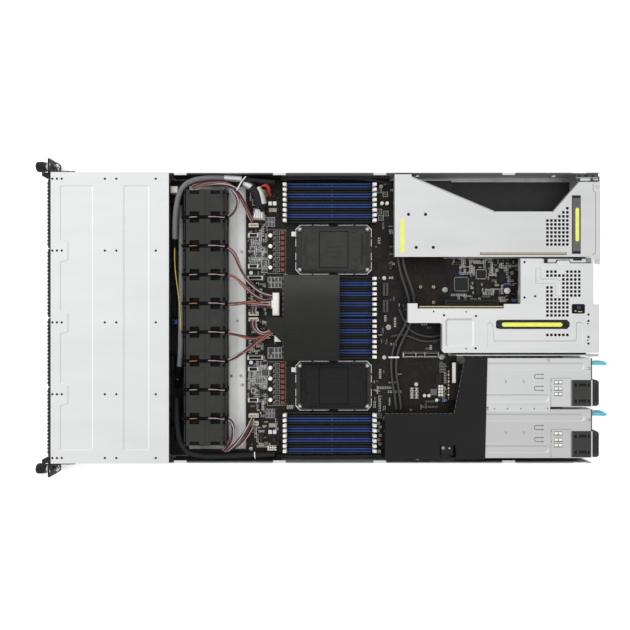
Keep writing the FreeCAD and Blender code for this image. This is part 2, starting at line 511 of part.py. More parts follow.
# ---------------------------------------------------------------- rear frame and ports
ports = [("lan", 72.0, 16.4, 13.6), ("lan", 54.0, 16.4, 13.6), ("lan", 34.0, 16.4, 13.6), ("usb", 12.0, 14.6, 7.2), ("usb", -6.0, 14.6, 7.2), ("vga", -32.0, 25.0, 10.4)]
port_cuts = [rect(y - w / 2 - 0.4, top + 0.3, y + w / 2 + 0.4, top + 1.0 + h - 0.2) for kind, y, w, h in ports]
io = plate("io_plate", rect(-57.0, 1.2, 91.4, 24.6), 1.2, (408.6, 0, 0), TO_X, cuts=port_cuts)
bay = span("psu_bay_wall", (205.0, 409.8), (-57.2, -56.0), (1.2, 41.6))
# Divider between the supplies, its top flange reaching over both of them.
split = fuse("psu_divider", [span("psu_divider_wall", (226.0, 347.0), (-137.2, -136.0), (1.2, 41.8)), span("psu_divider_flange", (254.0, 347.0), (-142.6, -131.2), (41.75, 42.35))])
node("rear_frame", group("rear_frame", [fuse("rear_plate", [io, bay]), split]))
jacks = []
for j, (kind, y, w, h) in enumerate(ports):
    blk = span("port%d" % j, (391.0, 410.2), (y - w / 2, y + w / 2), (top + 0.5, top + 0.5 + h))
    if kind == "lan":
        t = [span("port_hole%d" % j, (394.5, 411.0), (y - 6.0, y + 6.0), (top + 2.8, top + 11.6))]
    elif kind == "usb":
        t = [span("port_hole%d" % j, (394.5, 411.0), (y - 6.3, y + 6.3), (top + 1.4, top + 6.6))]
    else:
        t = [span("port_hole%d" % j, (404.5, 411.0), (y - 8.6, y + 8.6), (top + 1.8, top + 9.8))]
    jacks.append(cut("jack%d" % j, blk, t))
    if kind == "usb":
        jacks.append(span("tongue%d" % j, (394.5, 407.5), (y - 5.2, y + 5.2), (top + 1.4, top + 2.6)))
node("rear_ports", group("rear_ports", jacks))

# ---------------------------------------------------------------- power supplies
for n, yc in ((1, val("psu_y_one")), (2, val("psu_y_two"))):
    cell = "psu_y_one" if n == 1 else "psu_y_two"
    case = box("psu_case%d" % n, ("psu_front", cell + "-0.5*psu_w", "psu_low"), ("psu_len", "psu_w", "psu_tall"))
    room = span("inlet_room%d" % n, (380.0, 409.5), (yc - 35.6, yc + 4.0), (14.0, 42.0))
    latch_room = span("latch_room%d" % n, (396.0, 409.5), (yc + 22.0, yc + 34.5), (9.0, 36.0))
    latch_pin = cyl("latch_pin_hole%d" % n, (400.0, yc + 28.3, 7.0), 1.26, 31.0, "Z")
    slots = [span("psu_slot%d_%d" % (n, j), (407.0, 409.5), (yc + 6.0, yc + 20.0), (6.0 + 4.4 * j, 8.4 + 4.4 * j)) for j in range(8)]
    low = [span("psu_low_slot%d_%d" % (n, j), (407.0, 409.5), (yc - 34 + 4.8 * j, yc - 31.4 + 4.8 * j), (3.4, 12.0)) for j in range(8)]
    tail = span("psu_tail%d" % n, (206.0, 379.5), (yc - 26.0, yc + 26.0), (14.0, 15.6))
    hollow = span("psu_hollow%d" % n, (222.0, 379.0), (yc - 35.6, yc + 35.6), (3.0, 39.2))
    hollow_b = span("psu_hollow_b%d" % n, (378.9, 394.0), (yc + 5.2, yc + 35.6), (3.0, 39.2))
    # Two long stiffening beads sunk in the top, each with a round rear end.
    beads = []
    for j, (y, end) in enumerate(((yc + 24.1, 393.6), (yc - 23.8, 339.6))):
        beads.append(fuse("psu_bead%d_%d" % (n, j), [span("psu_bead_run%d_%d" % (n, j), (222.0, end), (y - 6.0, y + 6.0), (40.3, 42.0)),
                                                     cyl("psu_bead_end%d_%d" % (n, j), (end, y, 40.3), 6.0, 1.7, "Z")]))
    node("psu_body_%d" % n, fuse("psu%d" % n, [cut("psu_cut%d" % n, case, [room, latch_room, latch_pin, hollow, hollow_b] + slots + low + beads), tail]))
    blk = span("inlet_block%d" % n, (380.2, 411.6), (yc - 35.4, yc + 3.8), (14.2, 41.3))
    loop = plate("handle_loop%d" % n, [(411.4, yc - 35.4), (418.4, yc - 35.4), (421.2, yc - 32.6), (421.2, yc + 1.0), (418.4, yc + 3.8), (411.4, yc + 3.8)], 28.3, (0, 0, 13.0))
    c = yc - 15.8
    holes_ = [span("inlet_mouth%d" % n, (411.8, 421.6), (c - 15.0, c + 15.0), (17.2, 37.4)),
              span("inlet_pit%d" % n, (395.0, 412.0), (c - 12.2, c + 12.2), (19.0, 35.6))]
    shell_ = cut("inlet_cut%d" % n, fuse("inlet_raw%d" % n, [blk, loop]), holes_)
    pins = [span("prong%d" % n, (394.5, 409.0), (c + a - 1.0, c + a + 1.0), (z, z + 4.0)) for a, z in ((-7.0, 22.6), (0.0, 26.4), (7.0, 22.6))]
    node("psu_handle_%d" % n, fuse("psu_handle%d" % n, [shell_] + pins))
    arm = plate("psu_latch_arm%d" % n, [(398.0, yc + 26.3), (412.0, yc + 26.3), (434.0, yc + 25.4), (436.65, yc + 26.8), (436.65, yc + 29.0), (434.0, yc + 30.9), (398.0, yc + 30.3)], 22.0, (0, 0, 12.0))
    hub = cyl("psu_latch_hub%d" % n, (400.0, yc + 28.3, 9.5), 2.6, 26.0, "Z")
    stem = cyl("psu_latch_pin%d" % n, (400.0, yc + 28.3, 7.4), 1.2, 30.2, "Z")
    node("psu_latch_%d" % n, fuse("psu_latch%d" % n, [arm, hub, stem]))

# ---------------------------------------------------------------- cables held inside the chassis


def tube(pts, r, name):
    """A round lead: straight runs with tangent arcs as large as the runs allow."""
    P = [V(*p) for p in pts]
    edges, at, radii = [], P[0], []
    for i in range(1, len(P) - 1):
        a, b = P[i] - P[i - 1], P[i + 1] - P[i]
        la, lb = a.Length, b.Length
        a.normalize()
        b.normalize()
        turn = a.getAngle(b)
        if turn < 1e-3:
            continue
        cutb = 0.45 * min(la, lb)
        R = cutb / math.tan(turn / 2)
        radii.append(round(R, 1))
        p0, p1 = P[i] - a * cutb, P[i] + b * cutb
        mid_dir = (b - a)
        mid_dir.normalize()
        centre_d = R / math.cos(turn / 2)
        centre = P[i] + mid_dir * centre_d
        pm = centre - mid_dir * R
        edges.append(Part.LineSegment(at, p0).toShape())
        edges.append(Part.Arc(p0, pm, p1).toShape())
        at = p1
    edges.append(Part.LineSegment(at, P[-1]).toShape())
    w = Part.Wire(edges)
    d0 = P[1] - P[0]
    prof = Part.Wire([Part.makeCircle(r, P[0], d0)])
    s = w.makePipeShell([prof], True, False)
    want = math.pi * r * r * w.Length
    assert s.isValid() and abs(s.Volume - want) < 0.02 * want, (name, s.Volume, want)
    print(name, "length", round(w.Length, 1), "radii", min(radii) if radii else None)
    return s


cables = {
    "sleeve_a": (4.2, [(-70.0, 207.5, 30.0), (-100.0, 210.0, 31.5), (-140.0, 213.0, 33.0), (-176.0, 213.2, 35.5), (-202.0, 206.5, 37.0), (-214.5, 190.0, 37.4), (-219.5, 164.0, 36.6), (-221.5, 136.0, 35.0), (-221.8, 108.0, 32.0)]),
    "sleeve_b": (4.2, [(-216.5, 172.0, 24.5), (-213.8, 148.0, 27.0), (-212.6, 118.0, 30.0), (-212.2, 84.0, 31.5), (-212.0, 50.0, 32.5), (-212.3, 16.0, 33.0), (-212.5, -18.0, 33.0), (-213.4, -48.0, 31.0), (-216.0, -74.0, 26.0), (-220.0, -94.0, 19.0), (-223.0, -108.0, 12.5)]),
    "lower_run_a": (4.4, [(-222.0, -124.0, 21.0), (-220.6, -142.0, 25.5), (-219.0, -164.0, 28.5), (-215.0, -188.0, 30.0), (-205.5, -205.5, 30.2), (-186.0, -211.8, 30.0), (-160.0, -213.2, 29.0), (-130.0, -212.6, 27.0), (-100.0, -211.8, 25.0), (-70.0, -211.5, 23.5)]),
    "wall_run_top": (2.4, [(-60.0, 212.5, 27.0), (-20.0, 213.3, 27.6), (20.0, 213.6, 28.0), (60.0, 213.0, 28.0), (90.0, 210.5, 27.0), (108.0, 205.0, 26.0)]),
    "wall_run_low": (2.4, [(-66.0, -212.6, 27.0), (-20.0, -213.2, 27.0), (30.0, -213.4, 27.0), (80.0, -212.9, 26.0), (94.0, -211.9, 25.6)]),
    "riser_lead_a": (2.6, [(119.0, 112.0, 24.0), (119.5, 94.0, 24.4), (122.0, 76.0, 25.0), (127.0, 58.0, 24.6), (133.5, 41.0, 22.5), (138.5, 24.0, 18.6), (138.5, 6.0, 15.8), (131.5, -14.0, 15.3), (119.5, -33.0, 15.1), (112.0, -53.0, 15.0), (110.0, -76.0, 15.2), (112.5, -100.0, 15.4), (116.5, -122.0, 15.2), (118.5, -142.5, 15.0)]),
    "riser_lead_b": (2.6, [(125.0, 112.0, 28.0), (126.0, 94.0, 28.0), (129.5, 76.0, 27.6), (135.5, 59.0, 26.4), (142.0, 43.0, 23.4), (146.0, 28.0, 18.8), (146.0, 10.0, 15.8), (139.5, -14.0, 15.3), (127.0, -37.0, 15.1), (119.5, -57.0, 15.0), (117.6, -79.0, 15.2), (120.2, -101.0, 15.4), (124.0, -122.0, 15.2), (125.8, -142.5, 15.0)]),
    "bundle_top": (2.8, [(-194.0, 198.6, 36.0), (-184.0, 201.6, 38.2), (-170.0, 203.4, 39.2), (-155.0, 203.8, 39.3), (-141.0, 202.2, 38.8), (-130.0, 196.8, 37.6), (-122.0, 187.0, 35.0), (-116.0, 174.0, 31.0), (-110.0, 160.5, 25.0), (-105.6, 149.5, 19.4)]),
    "drop_run": (3.8, [(-126.0, 206.2, 27.0), (-113.0, 204.6, 28.6), (-101.5, 199.0, 29.4), (-94.0, 189.0, 28.6), (-91.0, 177.0, 25.6), (-90.2, 166.0, 20.6), (-91.4, 157.0, 14.6)]),
}
# Fan leads: from the gap beside each fan to a header on the board.
leads = [
    [(-143.0, 152.0, 37.5), (-135.5, 156.0, 37.2), (-128.0, 164.5, 37.0), (-124.5, 176.0, 37.6), (-127.0, 187.0, 39.8), (-133.5, 194.5, 42.0)],
    [(-143.0, 108.5, 37.5), (-136.0, 104.5, 37.0), (-128.0, 93.0, 36.0), (-123.0, 77.0, 34.0), (-114.0, 60.0, 32.0), (-101.0, 46.0, 29.0), (-88.0, 36.0, 25.0), (-74.4, 31.0, 22.0)],
    [(-143.0, 65.0, 37.5), (-132.0, 64.0, 37.0), (-121.0, 54.0, 35.0), (-108.0, 40.0, 32.0), (-95.0, 29.0, 28.0), (-84.0, 25.0, 24.0), (-74.4, 23.0, 21.0)],
    [(-143.0, 21.6, 37.5), (-129.0, 20.6, 36.6), (-115.0, 23.0, 34.0), (-101.0, 23.8, 30.0), (-87.0, 19.0, 25.0), (-74.6, 17.5, 20.0)],
    [(-143.0, -21.9, 37.5), (-130.0, -25.5, 36.6), (-116.0, -29.0, 34.0), (-102.0, -33.0, 30.0), (-90.0, -30.0, 26.0), (-80.0, -22.0, 23.0), (-75.0, -12.0, 20.0)],
    [(-143.0, -65.0, 37.5), (-133.0, -62.0, 37.2), (-119.0, -53.5, 36.0), (-105.0, -43.5, 33.5), (-92.0, -34.0, 30.0), (-80.0, -25.5, 27.0), (-69.4, -18.2, 24.4)],
    [(-143.0, -152.0, 37.5), (-136.0, -156.0, 36.4), (-132.0, -167.0, 34.6), (-133.4, -181.0, 32.6), (-138.4, -193.6, 31.4), (-149.0, -202.6, 30.6)],
    [(-103.6, -156.4, 18.4), (-107.6, -164.0, 22.6), (-114.6, -174.6, 26.6), (-122.6, -185.2, 29.2), (-131.6, -194.8, 30.4), (-142.4, -203.0, 31.0)],
    [(-103.8, -168.4, 18.4), (-108.6, -176.4, 22.0), (-115.8, -185.6, 24.8), (-124.4, -193.8, 25.8), (-134.6, -200.6, 25.6), (-147.0, -204.8, 24.8)],
]
solids = [tube(p, r, k) for k, (r, p) in cables.items()]
solids += [tube(p, 1.5, "fan_lead_%d" % i) for i, p in enumerate(leads, 1)]
node("internal_cables", feature("internal_cables", Part.makeCompound(solids)))

# ---------------------------------------------------------------- parts on the board
comps = []


def chip(x, y, lx, ly, h):
    comps.append(span("chip", (x - lx / 2, x + lx / 2), (y - ly / 2, y + ly / 2), (top, top + h)))


for s in (1, -1):
    for i in range(8):
        chip(-58.5, s * (74.5 + 8.3 * i), 6.0, 6.0, 5.4)
        chip(-67.0, s * (74.5 + 8.3 * i), 6.4, 5.4, 2.2)
    for i in range(4):
        comps.append(cyl("cap", (-77.5, s * (78.0 + 16.6 * i), top), 3.0, 8.0, "Z"))
    chip(-96.0, s * 98.0, 9.0, 9.0, 1.4)
    chip(-88.0, s * 116.0, 14.0, 7.0, 1.6)
    chip(-86.0, s * 86.0, 10.0, 10.0, 1.4)
    chip(-101.0, s * 62.0, 24.0, 5.6, 6.0)
    chip(-74.0, s * 168.0, 12.0, 6.0, 3.0)
    chip(-72.0, s * 190.0, 5.0, 5.0, 4.0)
    for k in (0, 1):
        chip(-78.0 + 7 * k, s * 178.0, 5.4, 6.0, 4.6)
# Fan headers and the large power header.
for x, y in ((-103.5, 143.5), (-103.5, 6.0), (-103.5, -3.2), (-103.5, -152.5), (-103.5, -164.5)):
    chip(x, y, 15.0, 5.0, 7.0)
comps.append(span("power_header", (-73.2, -63.4), (3.6, 38.4), (top, 25.0)))
comps.append(span("power_header_b", (-67.6, -61.0), (-27.0, -10.0), (top, 23.0)))
chip(-75.0, -203.0, 14.0, 7.0, 6.0)
# Bridge, management and clock devices at the rear, and the sockets of the riser cards.
chip(221.0, 52.5, 20.0, 20.0, 1.8)
chip(252.0, 68.0, 14.0, 13.0, 1.6)
chip(246.0, 44.0, 6.0, 18.0, 1.6)
chip(284.0, 62.0, 9.0, 12.0, 1.4)
chip(157.0, -58.0, 54.0, 6.0, 5.0)
chip(185.0, -95.0, 9.0, 16.0, 3.0)
chip(177.0, -116.0, 10.0, 10.0, 4.0)
chip(102.0, 44.0, 9.0, 20.0, 2.0)
chip(102.0, 18.0, 9.0, 20.0, 2.0)
for x, y in ((162.0, -121.0), (169.0, -121.0), (181.0, -128.0), (104.0, 178.0), (96.0, 178.0)):
    comps.append(cyl("cap", (x, y, top), 2.6, 7.0, "Z"))
# Sockets that the power supplies' edge boards slide into.
for yc in (val("psu_y_one"), val("psu_y_two")):
    comps.append(cut("psu_socket", span("psu_socket_block", (203.0, 213.8), (yc - 29.0, yc + 29.0), (top, 20.6)),
                     [span("psu_socket_groove", (205.0, 214.0), (yc - 26.7, yc + 26.7), (13.5, 16.1))]))
for x0, x1, y in ((241.0, 330.5, 96.7), (179.5, 268.5, 16.8)):
    comps.append(cut("riser_socket", span("riser_socket_block", (x0 - 3, x1 + 3), (y - 3.5, y + 3.5), (top, 18.4)),
                     [span("riser_socket_groove", (x0 - 0.6, x1 + 0.6), (y - 1.05, y + 1.05), (11.4, 18.6))]))
node("board_components", group("board_components", comps))

# ---------------------------------------------------------------- fasteners
fast = []
for x in cols_x:
    for y in rows_y:
        fast.append(cyl("cover_screw", (x, y, 42.75), 1.65, 1.05, "Z"))
for x, y in board_screws:
    fast.append(cyl("standoff", (x, y, 1.2), 3.0, 6.0, "Z"))
    fast.append(fuse("board_screw", [cyl("screw_head", (x, y, top), 3.0, 1.8, "Z"), cyl("screw_shank", (x, y, 7.2), 1.6, 2.2, "Z")]))
for s in (1, -1):
    for z in (10.0, 34.0):
        fast.append(cyl("ear_screw", (-384.0, s * 222.0 if s > 0 else -223.2, z), 2.6, 1.2, "Y"))
node("screws", group("screws", fast))

# ---------------------------------------------------------------- write
doc.recompute()
bad = [o.Label for o in doc.Objects if "Invalid" in o.State or "Error" in o.State]
for label, o in NODES.items():
    if o.Shape.isNull() or not o.Shape.isValid() or not o.Shape.Solids:
        bad.append(label)
if bad:
    raise SystemExit("failed objects: %s" % bad)
os.makedirs("parts", exist_ok=True)
for f in os.listdir("parts"):
    if f.endswith(".step") and f[:-5] not in NODES:
        os.remove(os.path.join("parts", f))
for label, o in NODES.items():
    o.Shape.exportStep(os.path.join("parts", label + ".step"))
print(len(NODES), "nodes", sum(len(o.Shape.Solids) for o in NODES.values()), "solids")
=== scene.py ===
import math
import random

import bpy
from mathutils import Matrix, Vector


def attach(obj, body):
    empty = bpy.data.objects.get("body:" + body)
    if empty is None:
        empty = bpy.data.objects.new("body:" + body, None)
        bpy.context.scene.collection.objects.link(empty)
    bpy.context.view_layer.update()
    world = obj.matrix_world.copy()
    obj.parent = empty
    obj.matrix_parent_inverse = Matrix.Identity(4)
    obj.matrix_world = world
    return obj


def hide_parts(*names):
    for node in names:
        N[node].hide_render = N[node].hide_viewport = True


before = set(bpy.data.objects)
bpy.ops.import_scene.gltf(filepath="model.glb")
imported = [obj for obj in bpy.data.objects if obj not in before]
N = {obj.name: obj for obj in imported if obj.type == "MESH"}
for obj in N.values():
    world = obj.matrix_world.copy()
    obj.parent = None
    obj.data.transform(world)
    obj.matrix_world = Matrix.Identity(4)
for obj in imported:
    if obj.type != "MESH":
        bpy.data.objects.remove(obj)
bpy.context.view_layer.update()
scene = bpy.context.scene
MM = 0.001
TOP = 9.2                      # upper face of the main board, mm
PITCH = 104.75                 # drive carriers
FAN_Y = [(4 - i) * 43.48 for i in range(9)]
PSU_Y = (-97.9, -175.2)


# ------------------------------------------------------------------ camera, light, floor
cam = bpy.data.cameras.new("camera")
cam.lens, cam.sensor_width, cam.sensor_fit = 34.35, 36.0, "HORIZONTAL"
cam.dof.use_dof = False
cam.clip_start, cam.clip_end = 0.01, 50
cam_o = bpy.data.objects.new("camera", cam)
cam_o.location = (-0.00805, 0.0042, 0.950)
cam_o.rotation_euler = (0, 0, 0)
scene.collection.objects.link(cam_o)
scene.camera = cam_o

world = bpy.data.worlds.new("studio")
scene.world = world
world.use_nodes = True
wt = world.node_tree
wbg = wt.nodes["Background"]
# A white tent: brightest overhead, dimmer half way down, white again all round the horizon, and brighter at the upper left than at the lower right.
w_tc = wt.nodes.new("ShaderNodeTexCoord")
w_dot = wt.nodes.new("ShaderNodeVectorMath")
w_dot.operation = "DOT_PRODUCT"
w_dot.inputs[1].default_value = (-0.9, 0.6, 0.0)
w_map = wt.nodes.new("ShaderNodeMapRange")
w_map.inputs["From Min"].default_value = -1.1
w_map.inputs["From Max"].default_value = 1.1
w_map.inputs["To Min"].default_value = 0.34
w_map.inputs["To Max"].default_value = 1.44
wt.links.new(w_tc.outputs["Generated"], w_dot.inputs[0])
wt.links.new(w_dot.outputs["Value"], w_map.inputs["Value"])
w_sep = wt.nodes.new("ShaderNodeSeparateXYZ")
w_low = wt.nodes.new("ShaderNodeMapRange")
w_low.interpolation_type = "SMOOTHSTEP"
w_low.inputs["From Min"].default_value = 0.15
w_low.inputs["From Max"].default_value = 0.80
w_low.inputs["To Min"].default_value = 0.46
w_low.inputs["To Max"].default_value = 1.06
w_mul = wt.nodes.new("ShaderNodeMath")
w_mul.operation = "MULTIPLY"
wt.links.new(w_tc.outputs["Generated"], w_sep.inputs[0])
wt.links.new(w_sep.outputs["Z"], w_low.inputs["Value"])
wt.links.new(w_map.outputs["Result"], w_mul.inputs[0])
wt.links.new(w_low.outputs["Result"], w_mul.inputs[1])
w_hor = wt.nodes.new("ShaderNodeMapRange")
w_hor.interpolation_type = "SMOOTHSTEP"
w_hor.inputs["From Min"].default_value = 0.08
w_hor.inputs["From Max"].default_value = 0.34
w_hor.inputs["To Min"].default_value = 1.0
w_hor.inputs["To Max"].default_value = 0.0
w_gap = wt.nodes.new("ShaderNodeMath")
w_gap.operation = "SUBTRACT"
w_gap.inputs[0].default_value = 1.02
w_add = wt.nodes.new("ShaderNodeMath")
w_add.operation = "MULTIPLY_ADD"
wt.links.new(w_sep.outputs["Z"], w_hor.inputs["Value"])
wt.links.new(w_mul.outputs["Value"], w_gap.inputs[1])
wt.links.new(w_hor.outputs["Result"], w_add.inputs[0])
wt.links.new(w_gap.outputs["Value"], w_add.inputs[1])
wt.links.new(w_mul.outputs["Value"], w_add.inputs[2])
wt.links.new(w_add.outputs["Value"], wbg.inputs["Strength"])
wbg.inputs["Color"].default_value = (1.0, 1.0, 1.0, 1)


def area(name, loc, target, size, power, size_y=None):
    li = bpy.data.lights.new(name, "AREA")
    li.energy, li.size = power, size
    if size_y:
        li.shape, li.size_y = "RECTANGLE", size_y
    o = bpy.data.objects.new(name, li)
    o.location = loc
    d = Vector(target) - Vector(loc)
    o.rotation_euler = d.to_track_quat("-Z", "Y").to_euler()
    o.visible_glossy = False
    scene.collection.objects.link(o)
    return o


area("key", (-1.1, 0.9, 2.1), (0, 0, 0), 1.3, 20)
area("fill", (1.2, -0.9, 2.1), (0, 0, 0), 1.6, 11)
scene.view_settings.view_transform = "Standard"
scene.view_settings.look = "None"


# ------------------------------------------------------------------ materials
MATS = {}


def nodes_of(name):
    m = bpy.data.materials.new(name)
    m.use_nodes = True
    nt = m.node_tree
    b = nt.nodes["Principled BSDF"]
    return m, nt, b


def add(nt, kind, **kw):
    n = nt.nodes.new(kind)
    for k, v in kw.items():
        if k.startswith("i_"):
            n.inputs[k[2:].replace("_", " ")].default_value = v
        else:
            setattr(n, k, v)
    return n


def coords(nt, stretch=None):
    tc = add(nt, "ShaderNodeTexCoord")
    if not stretch:
        return tc.outputs["Object"]
    mp = add(nt, "ShaderNodeMapping")
    mp.inputs["Scale"].default_value = stretch
    nt.links.new(tc.outputs["Object"], mp.inputs["Vector"])
    return mp.outputs["Vector"]


def rgba(c, k=1.0):
    return (min(c[0] * k, 1), min(c[1] * k, 1), min(c[2] * k, 1), 1)


def mat(name, color, rough=0.5, metal=0.0, var=0.10, scale=60.0, bump=0.15, bscale=1500.0, rvar=0.12, stretch=None, depth=0.0002, wear=None, coat=0.0, spec=0.5, painted_sheen=None):
    """A finish with slow colour drift, a fine grain in roughness and bump, and optional worn specks or a painted sheen:
    a painted reflection that changes the colour across the width.
    """
    m, nt, b = nodes_of(name)
    L = nt.links.new
    src = coords(nt, stretch)
    n1 = add(nt, "ShaderNodeTexNoise")
    n1.inputs["Scale"].default_value = scale
    n1.inputs["Detail"].default_value = 4.0
    L(src, n1.inputs["Vector"])
    ramp = add(nt, "ShaderNodeValToRGB")
    ramp.color_ramp.elements[0].position = 0.3
    ramp.color_ramp.elements[1].position = 0.7
    ramp.color_ramp.elements[0].color = rgba(color, 1 - var)
    ramp.color_ramp.elements[1].color = rgba(color, 1 + var)
    L(n1.outputs["Fac"], ramp.inputs["Fac"])
    n2 = add(nt, "ShaderNodeTexNoise")
    n2.inputs["Scale"].default_value = bscale
    n2.inputs["Detail"].default_value = 3.0
    L(src, n2.inputs["Vector"])
    col = ramp.outputs["Color"]
    if wear:
        n3 = add(nt, "ShaderNodeTexNoise")
        n3.inputs["Scale"].default_value = 320.0
        n3.inputs["Detail"].default_value = 6.0
        L(src, n3.inputs["Vector"])
        r3 = add(nt, "ShaderNodeValToRGB")
        r3.color_ramp.elements[0].position = 0.66
        r3.color_ramp.elements[1].position = 0.74
        r3.color_ramp.elements[0].color = (0, 0, 0, 1)
        r3.color_ramp.elements[1].color = (1, 1, 1, 1)
        L(n3.outputs["Fac"], r3.inputs["Fac"])
        mx = add(nt, "ShaderNodeMixRGB")
        mx.inputs["Color2"].default_value = (*wear, 1)
        L(r3.outputs["Color"], mx.inputs["Fac"])
        L(col, mx.inputs["Color1"])
        col = mx.outputs["Color"]
    # Painted sheen: a ramp along the object's Y multiplies the colour, standing in for a reflection.
    if painted_sheen:
        y0, y1, stops = painted_sheen
        tc = add(nt, "ShaderNodeTexCoord")
        sep = add(nt, "ShaderNodeSeparateXYZ")
        L(tc.outputs["Object"], sep.inputs[0])
        hm = add(nt, "ShaderNodeMapRange")
        hm.inputs["From Min"].default_value = y0
        hm.inputs["From Max"].default_value = y1
        L(sep.outputs["Y"], hm.inputs["Value"])
        hr = add(nt, "ShaderNodeValToRGB")
        for _ in stops[2:]:
            hr.color_ramp.elements.new(0.5)
        for e, (pos, k) in zip(hr.color_ramp.elements, stops):
            e.position = pos
            e.color = (k, k, k, 1)
        L(hm.outputs["Result"], hr.inputs["Fac"])
        hx = add(nt, "ShaderNodeMixRGB", blend_type="MULTIPLY")
        hx.inputs["Fac"].default_value = 1.0
        L(col, hx.inputs["Color1"])
        L(hr.outputs["Color"], hx.inputs["Color2"])
        col = hx.outputs["Color"]
    L(col, b.inputs["Base Color"])
    mr = add(nt, "ShaderNodeMapRange")
    mr.inputs["To Min"].default_value = max(rough - rvar, 0.02)
    mr.inputs["To Max"].default_value = min(rough + rvar, 1.0)
    L(n2.outputs["Fac"], mr.inputs["Value"])
    L(mr.outputs["Result"], b.inputs["Roughness"])
    if bump:
        bp = add(nt, "ShaderNodeBump")
        bp.inputs["Strength"].default_value = bump
        bp.inputs["Distance"].default_value = depth
        L(n2.outputs["Fac"], bp.inputs["Height"])
        L(bp.outputs["Normal"], b.inputs["Normal"])
    b.inputs["Metallic"].default_value = metal
    b.inputs["Specular IOR Level"].default_value = spec
    if coat:
        b.inputs["Coat Weight"].default_value = coat
    MATS[name] = m
    return m


def board_mat(name, dark, light, dots):
    """Solder mask over copper: blocks of fill, fine runs of traces and rows of vias."""
    m, nt, b = nodes_of(name)
    L = nt.links.new
    src = coords(nt)
    blocks = add(nt, "ShaderNodeTexVoronoi", distance="CHEBYCHEV")
    blocks.inputs["Scale"].default_value = 42.0
    L(src, blocks.inputs["Vector"])
    br = add(nt, "ShaderNodeTexBrick")
    br.inputs["Scale"].default_value = 150.0
    br.inputs["Mortar Size"].default_value = 0.09
    br.inputs["Mortar Smooth"].default_value = 0.3
    br.inputs["Color1"].default_value = (0.25, 0.25, 0.25, 1)
    br.inputs["Color2"].default_value = (0.55, 0.55, 0.55, 1)
    br.inputs["Mortar"].default_value = (1, 1, 1, 1)
    L(src, br.inputs["Vector"])
    gate = add(nt, "ShaderNodeMixRGB", blend_type="MULTIPLY")
    gate.inputs["Fac"].default_value = 1.0
    L(br.outputs["Color"], gate.inputs["Color1"])
    L(blocks.outputs["Color"], gate.inputs["Color2"])
    bw = add(nt, "ShaderNodeRGBToBW")
    L(gate.outputs["Color"], bw.inputs["Color"])
    r1 = add(nt, "ShaderNodeValToRGB")
    r1.color_ramp.elements[0].position = 0.05
    r1.color_ramp.elements[1].position = 0.75
    r1.color_ramp.elements[0].color = (*dark, 1)
    r1.color_ramp.elements[1].color = (*light, 1)
    L(bw.outputs["Val"], r1.inputs["Fac"])
    via = add(nt, "ShaderNodeTexVoronoi")
    via.inputs["Scale"].default_value = 330.0
    via.inputs["Randomness"].default_value = 0.55
    L(src, via.inputs["Vector"])
    r2 = add(nt, "ShaderNodeValToRGB")
    r2.color_ramp.elements[0].position = 0.10
    r2.color_ramp.elements[1].position = 0.16
    r2.color_ramp.elements[0].color = (1, 1, 1, 1)
    r2.color_ramp.elements[1].color = (0, 0, 0, 1)
    L(via.outputs["Distance"], r2.inputs["Fac"])
    mx = add(nt, "ShaderNodeMixRGB")
    mx.inputs["Color2"].default_value = (*dots, 1)
    L(r2.outputs["Color"], mx.inputs["Fac"])
    L(r1.outputs["Color"], mx.inputs["Color1"])
    L(mx.outputs["Color"], b.inputs["Base Color"])
    mr = add(nt, "ShaderNodeMapRange")
    mr.inputs["To Min"].default_value = 0.42
    mr.inputs["To Max"].default_value = 0.60
    L(bw.outputs["Val"], mr.inputs["Value"])
    L(mr.outputs["Result"], b.inputs["Roughness"])
    bp = add(nt, "ShaderNodeBump")
    bp.inputs["Strength"].default_value = 0.2
    bp.inputs["Distance"].default_value = 0.00008
    L(bw.outputs["Val"], bp.inputs["Height"])
    L(bp.outputs["Normal"], b.inputs["Normal"])
    b.inputs["Specular IOR Level"].default_value = 0.18
    MATS[name] = m
    return m


def braid_mat(name, a, c, scale=900.0, rough=0.75):
    """Woven sleeve: two crossed sets of fine strands."""
    m, nt, b = nodes_of(name)
    L = nt.links.new
    src = coords(nt)
    w1 = add(nt, "ShaderNodeTexWave", wave_type="BANDS", bands_direction="DIAGONAL")
    w1.inputs["Scale"].default_value = scale
    w1.inputs["Distortion"].default_value = 0.6
    L(src, w1.inputs["Vector"])
    mp = add(nt, "ShaderNodeMapping")
    mp.inputs["Rotation"].default_value = (0, 0, math.radians(90))
    L(src, mp.inputs["Vector"])
    w2 = add(nt, "ShaderNodeTexWave", wave_type="BANDS", bands_direction="DIAGONAL")
    w2.inputs["Scale"].default_value = scale
    w2.inputs["Distortion"].default_value = 0.6
    L(mp.outputs["Vector"], w2.inputs["Vector"])
    mul = add(nt, "ShaderNodeMath", operation="MULTIPLY")
    L(w1.outputs["Fac"], mul.inputs[0])
    L(w2.outputs["Fac"], mul.inputs[1])
    r = add(nt, "ShaderNodeValToRGB")
    r.color_ramp.elements[0].color = (*a, 1)
    r.color_ramp.elements[1].color = (*c, 1)
    r.color_ramp.elements[1].position = 0.7
    L(mul.outputs["Value"], r.inputs["Fac"])
    L(r.outputs["Color"], b.inputs["Base Color"])
    bp = add(nt, "ShaderNodeBump")
    bp.inputs["Strength"].default_value = 0.35
    bp.inputs["Distance"].default_value = 0.0003
    L(mul.outputs["Value"], bp.inputs["Height"])
    L(bp.outputs["Normal"], b.inputs["Normal"])
    b.inputs["Roughness"].default_value = rough
    MATS[name] = m
    return m


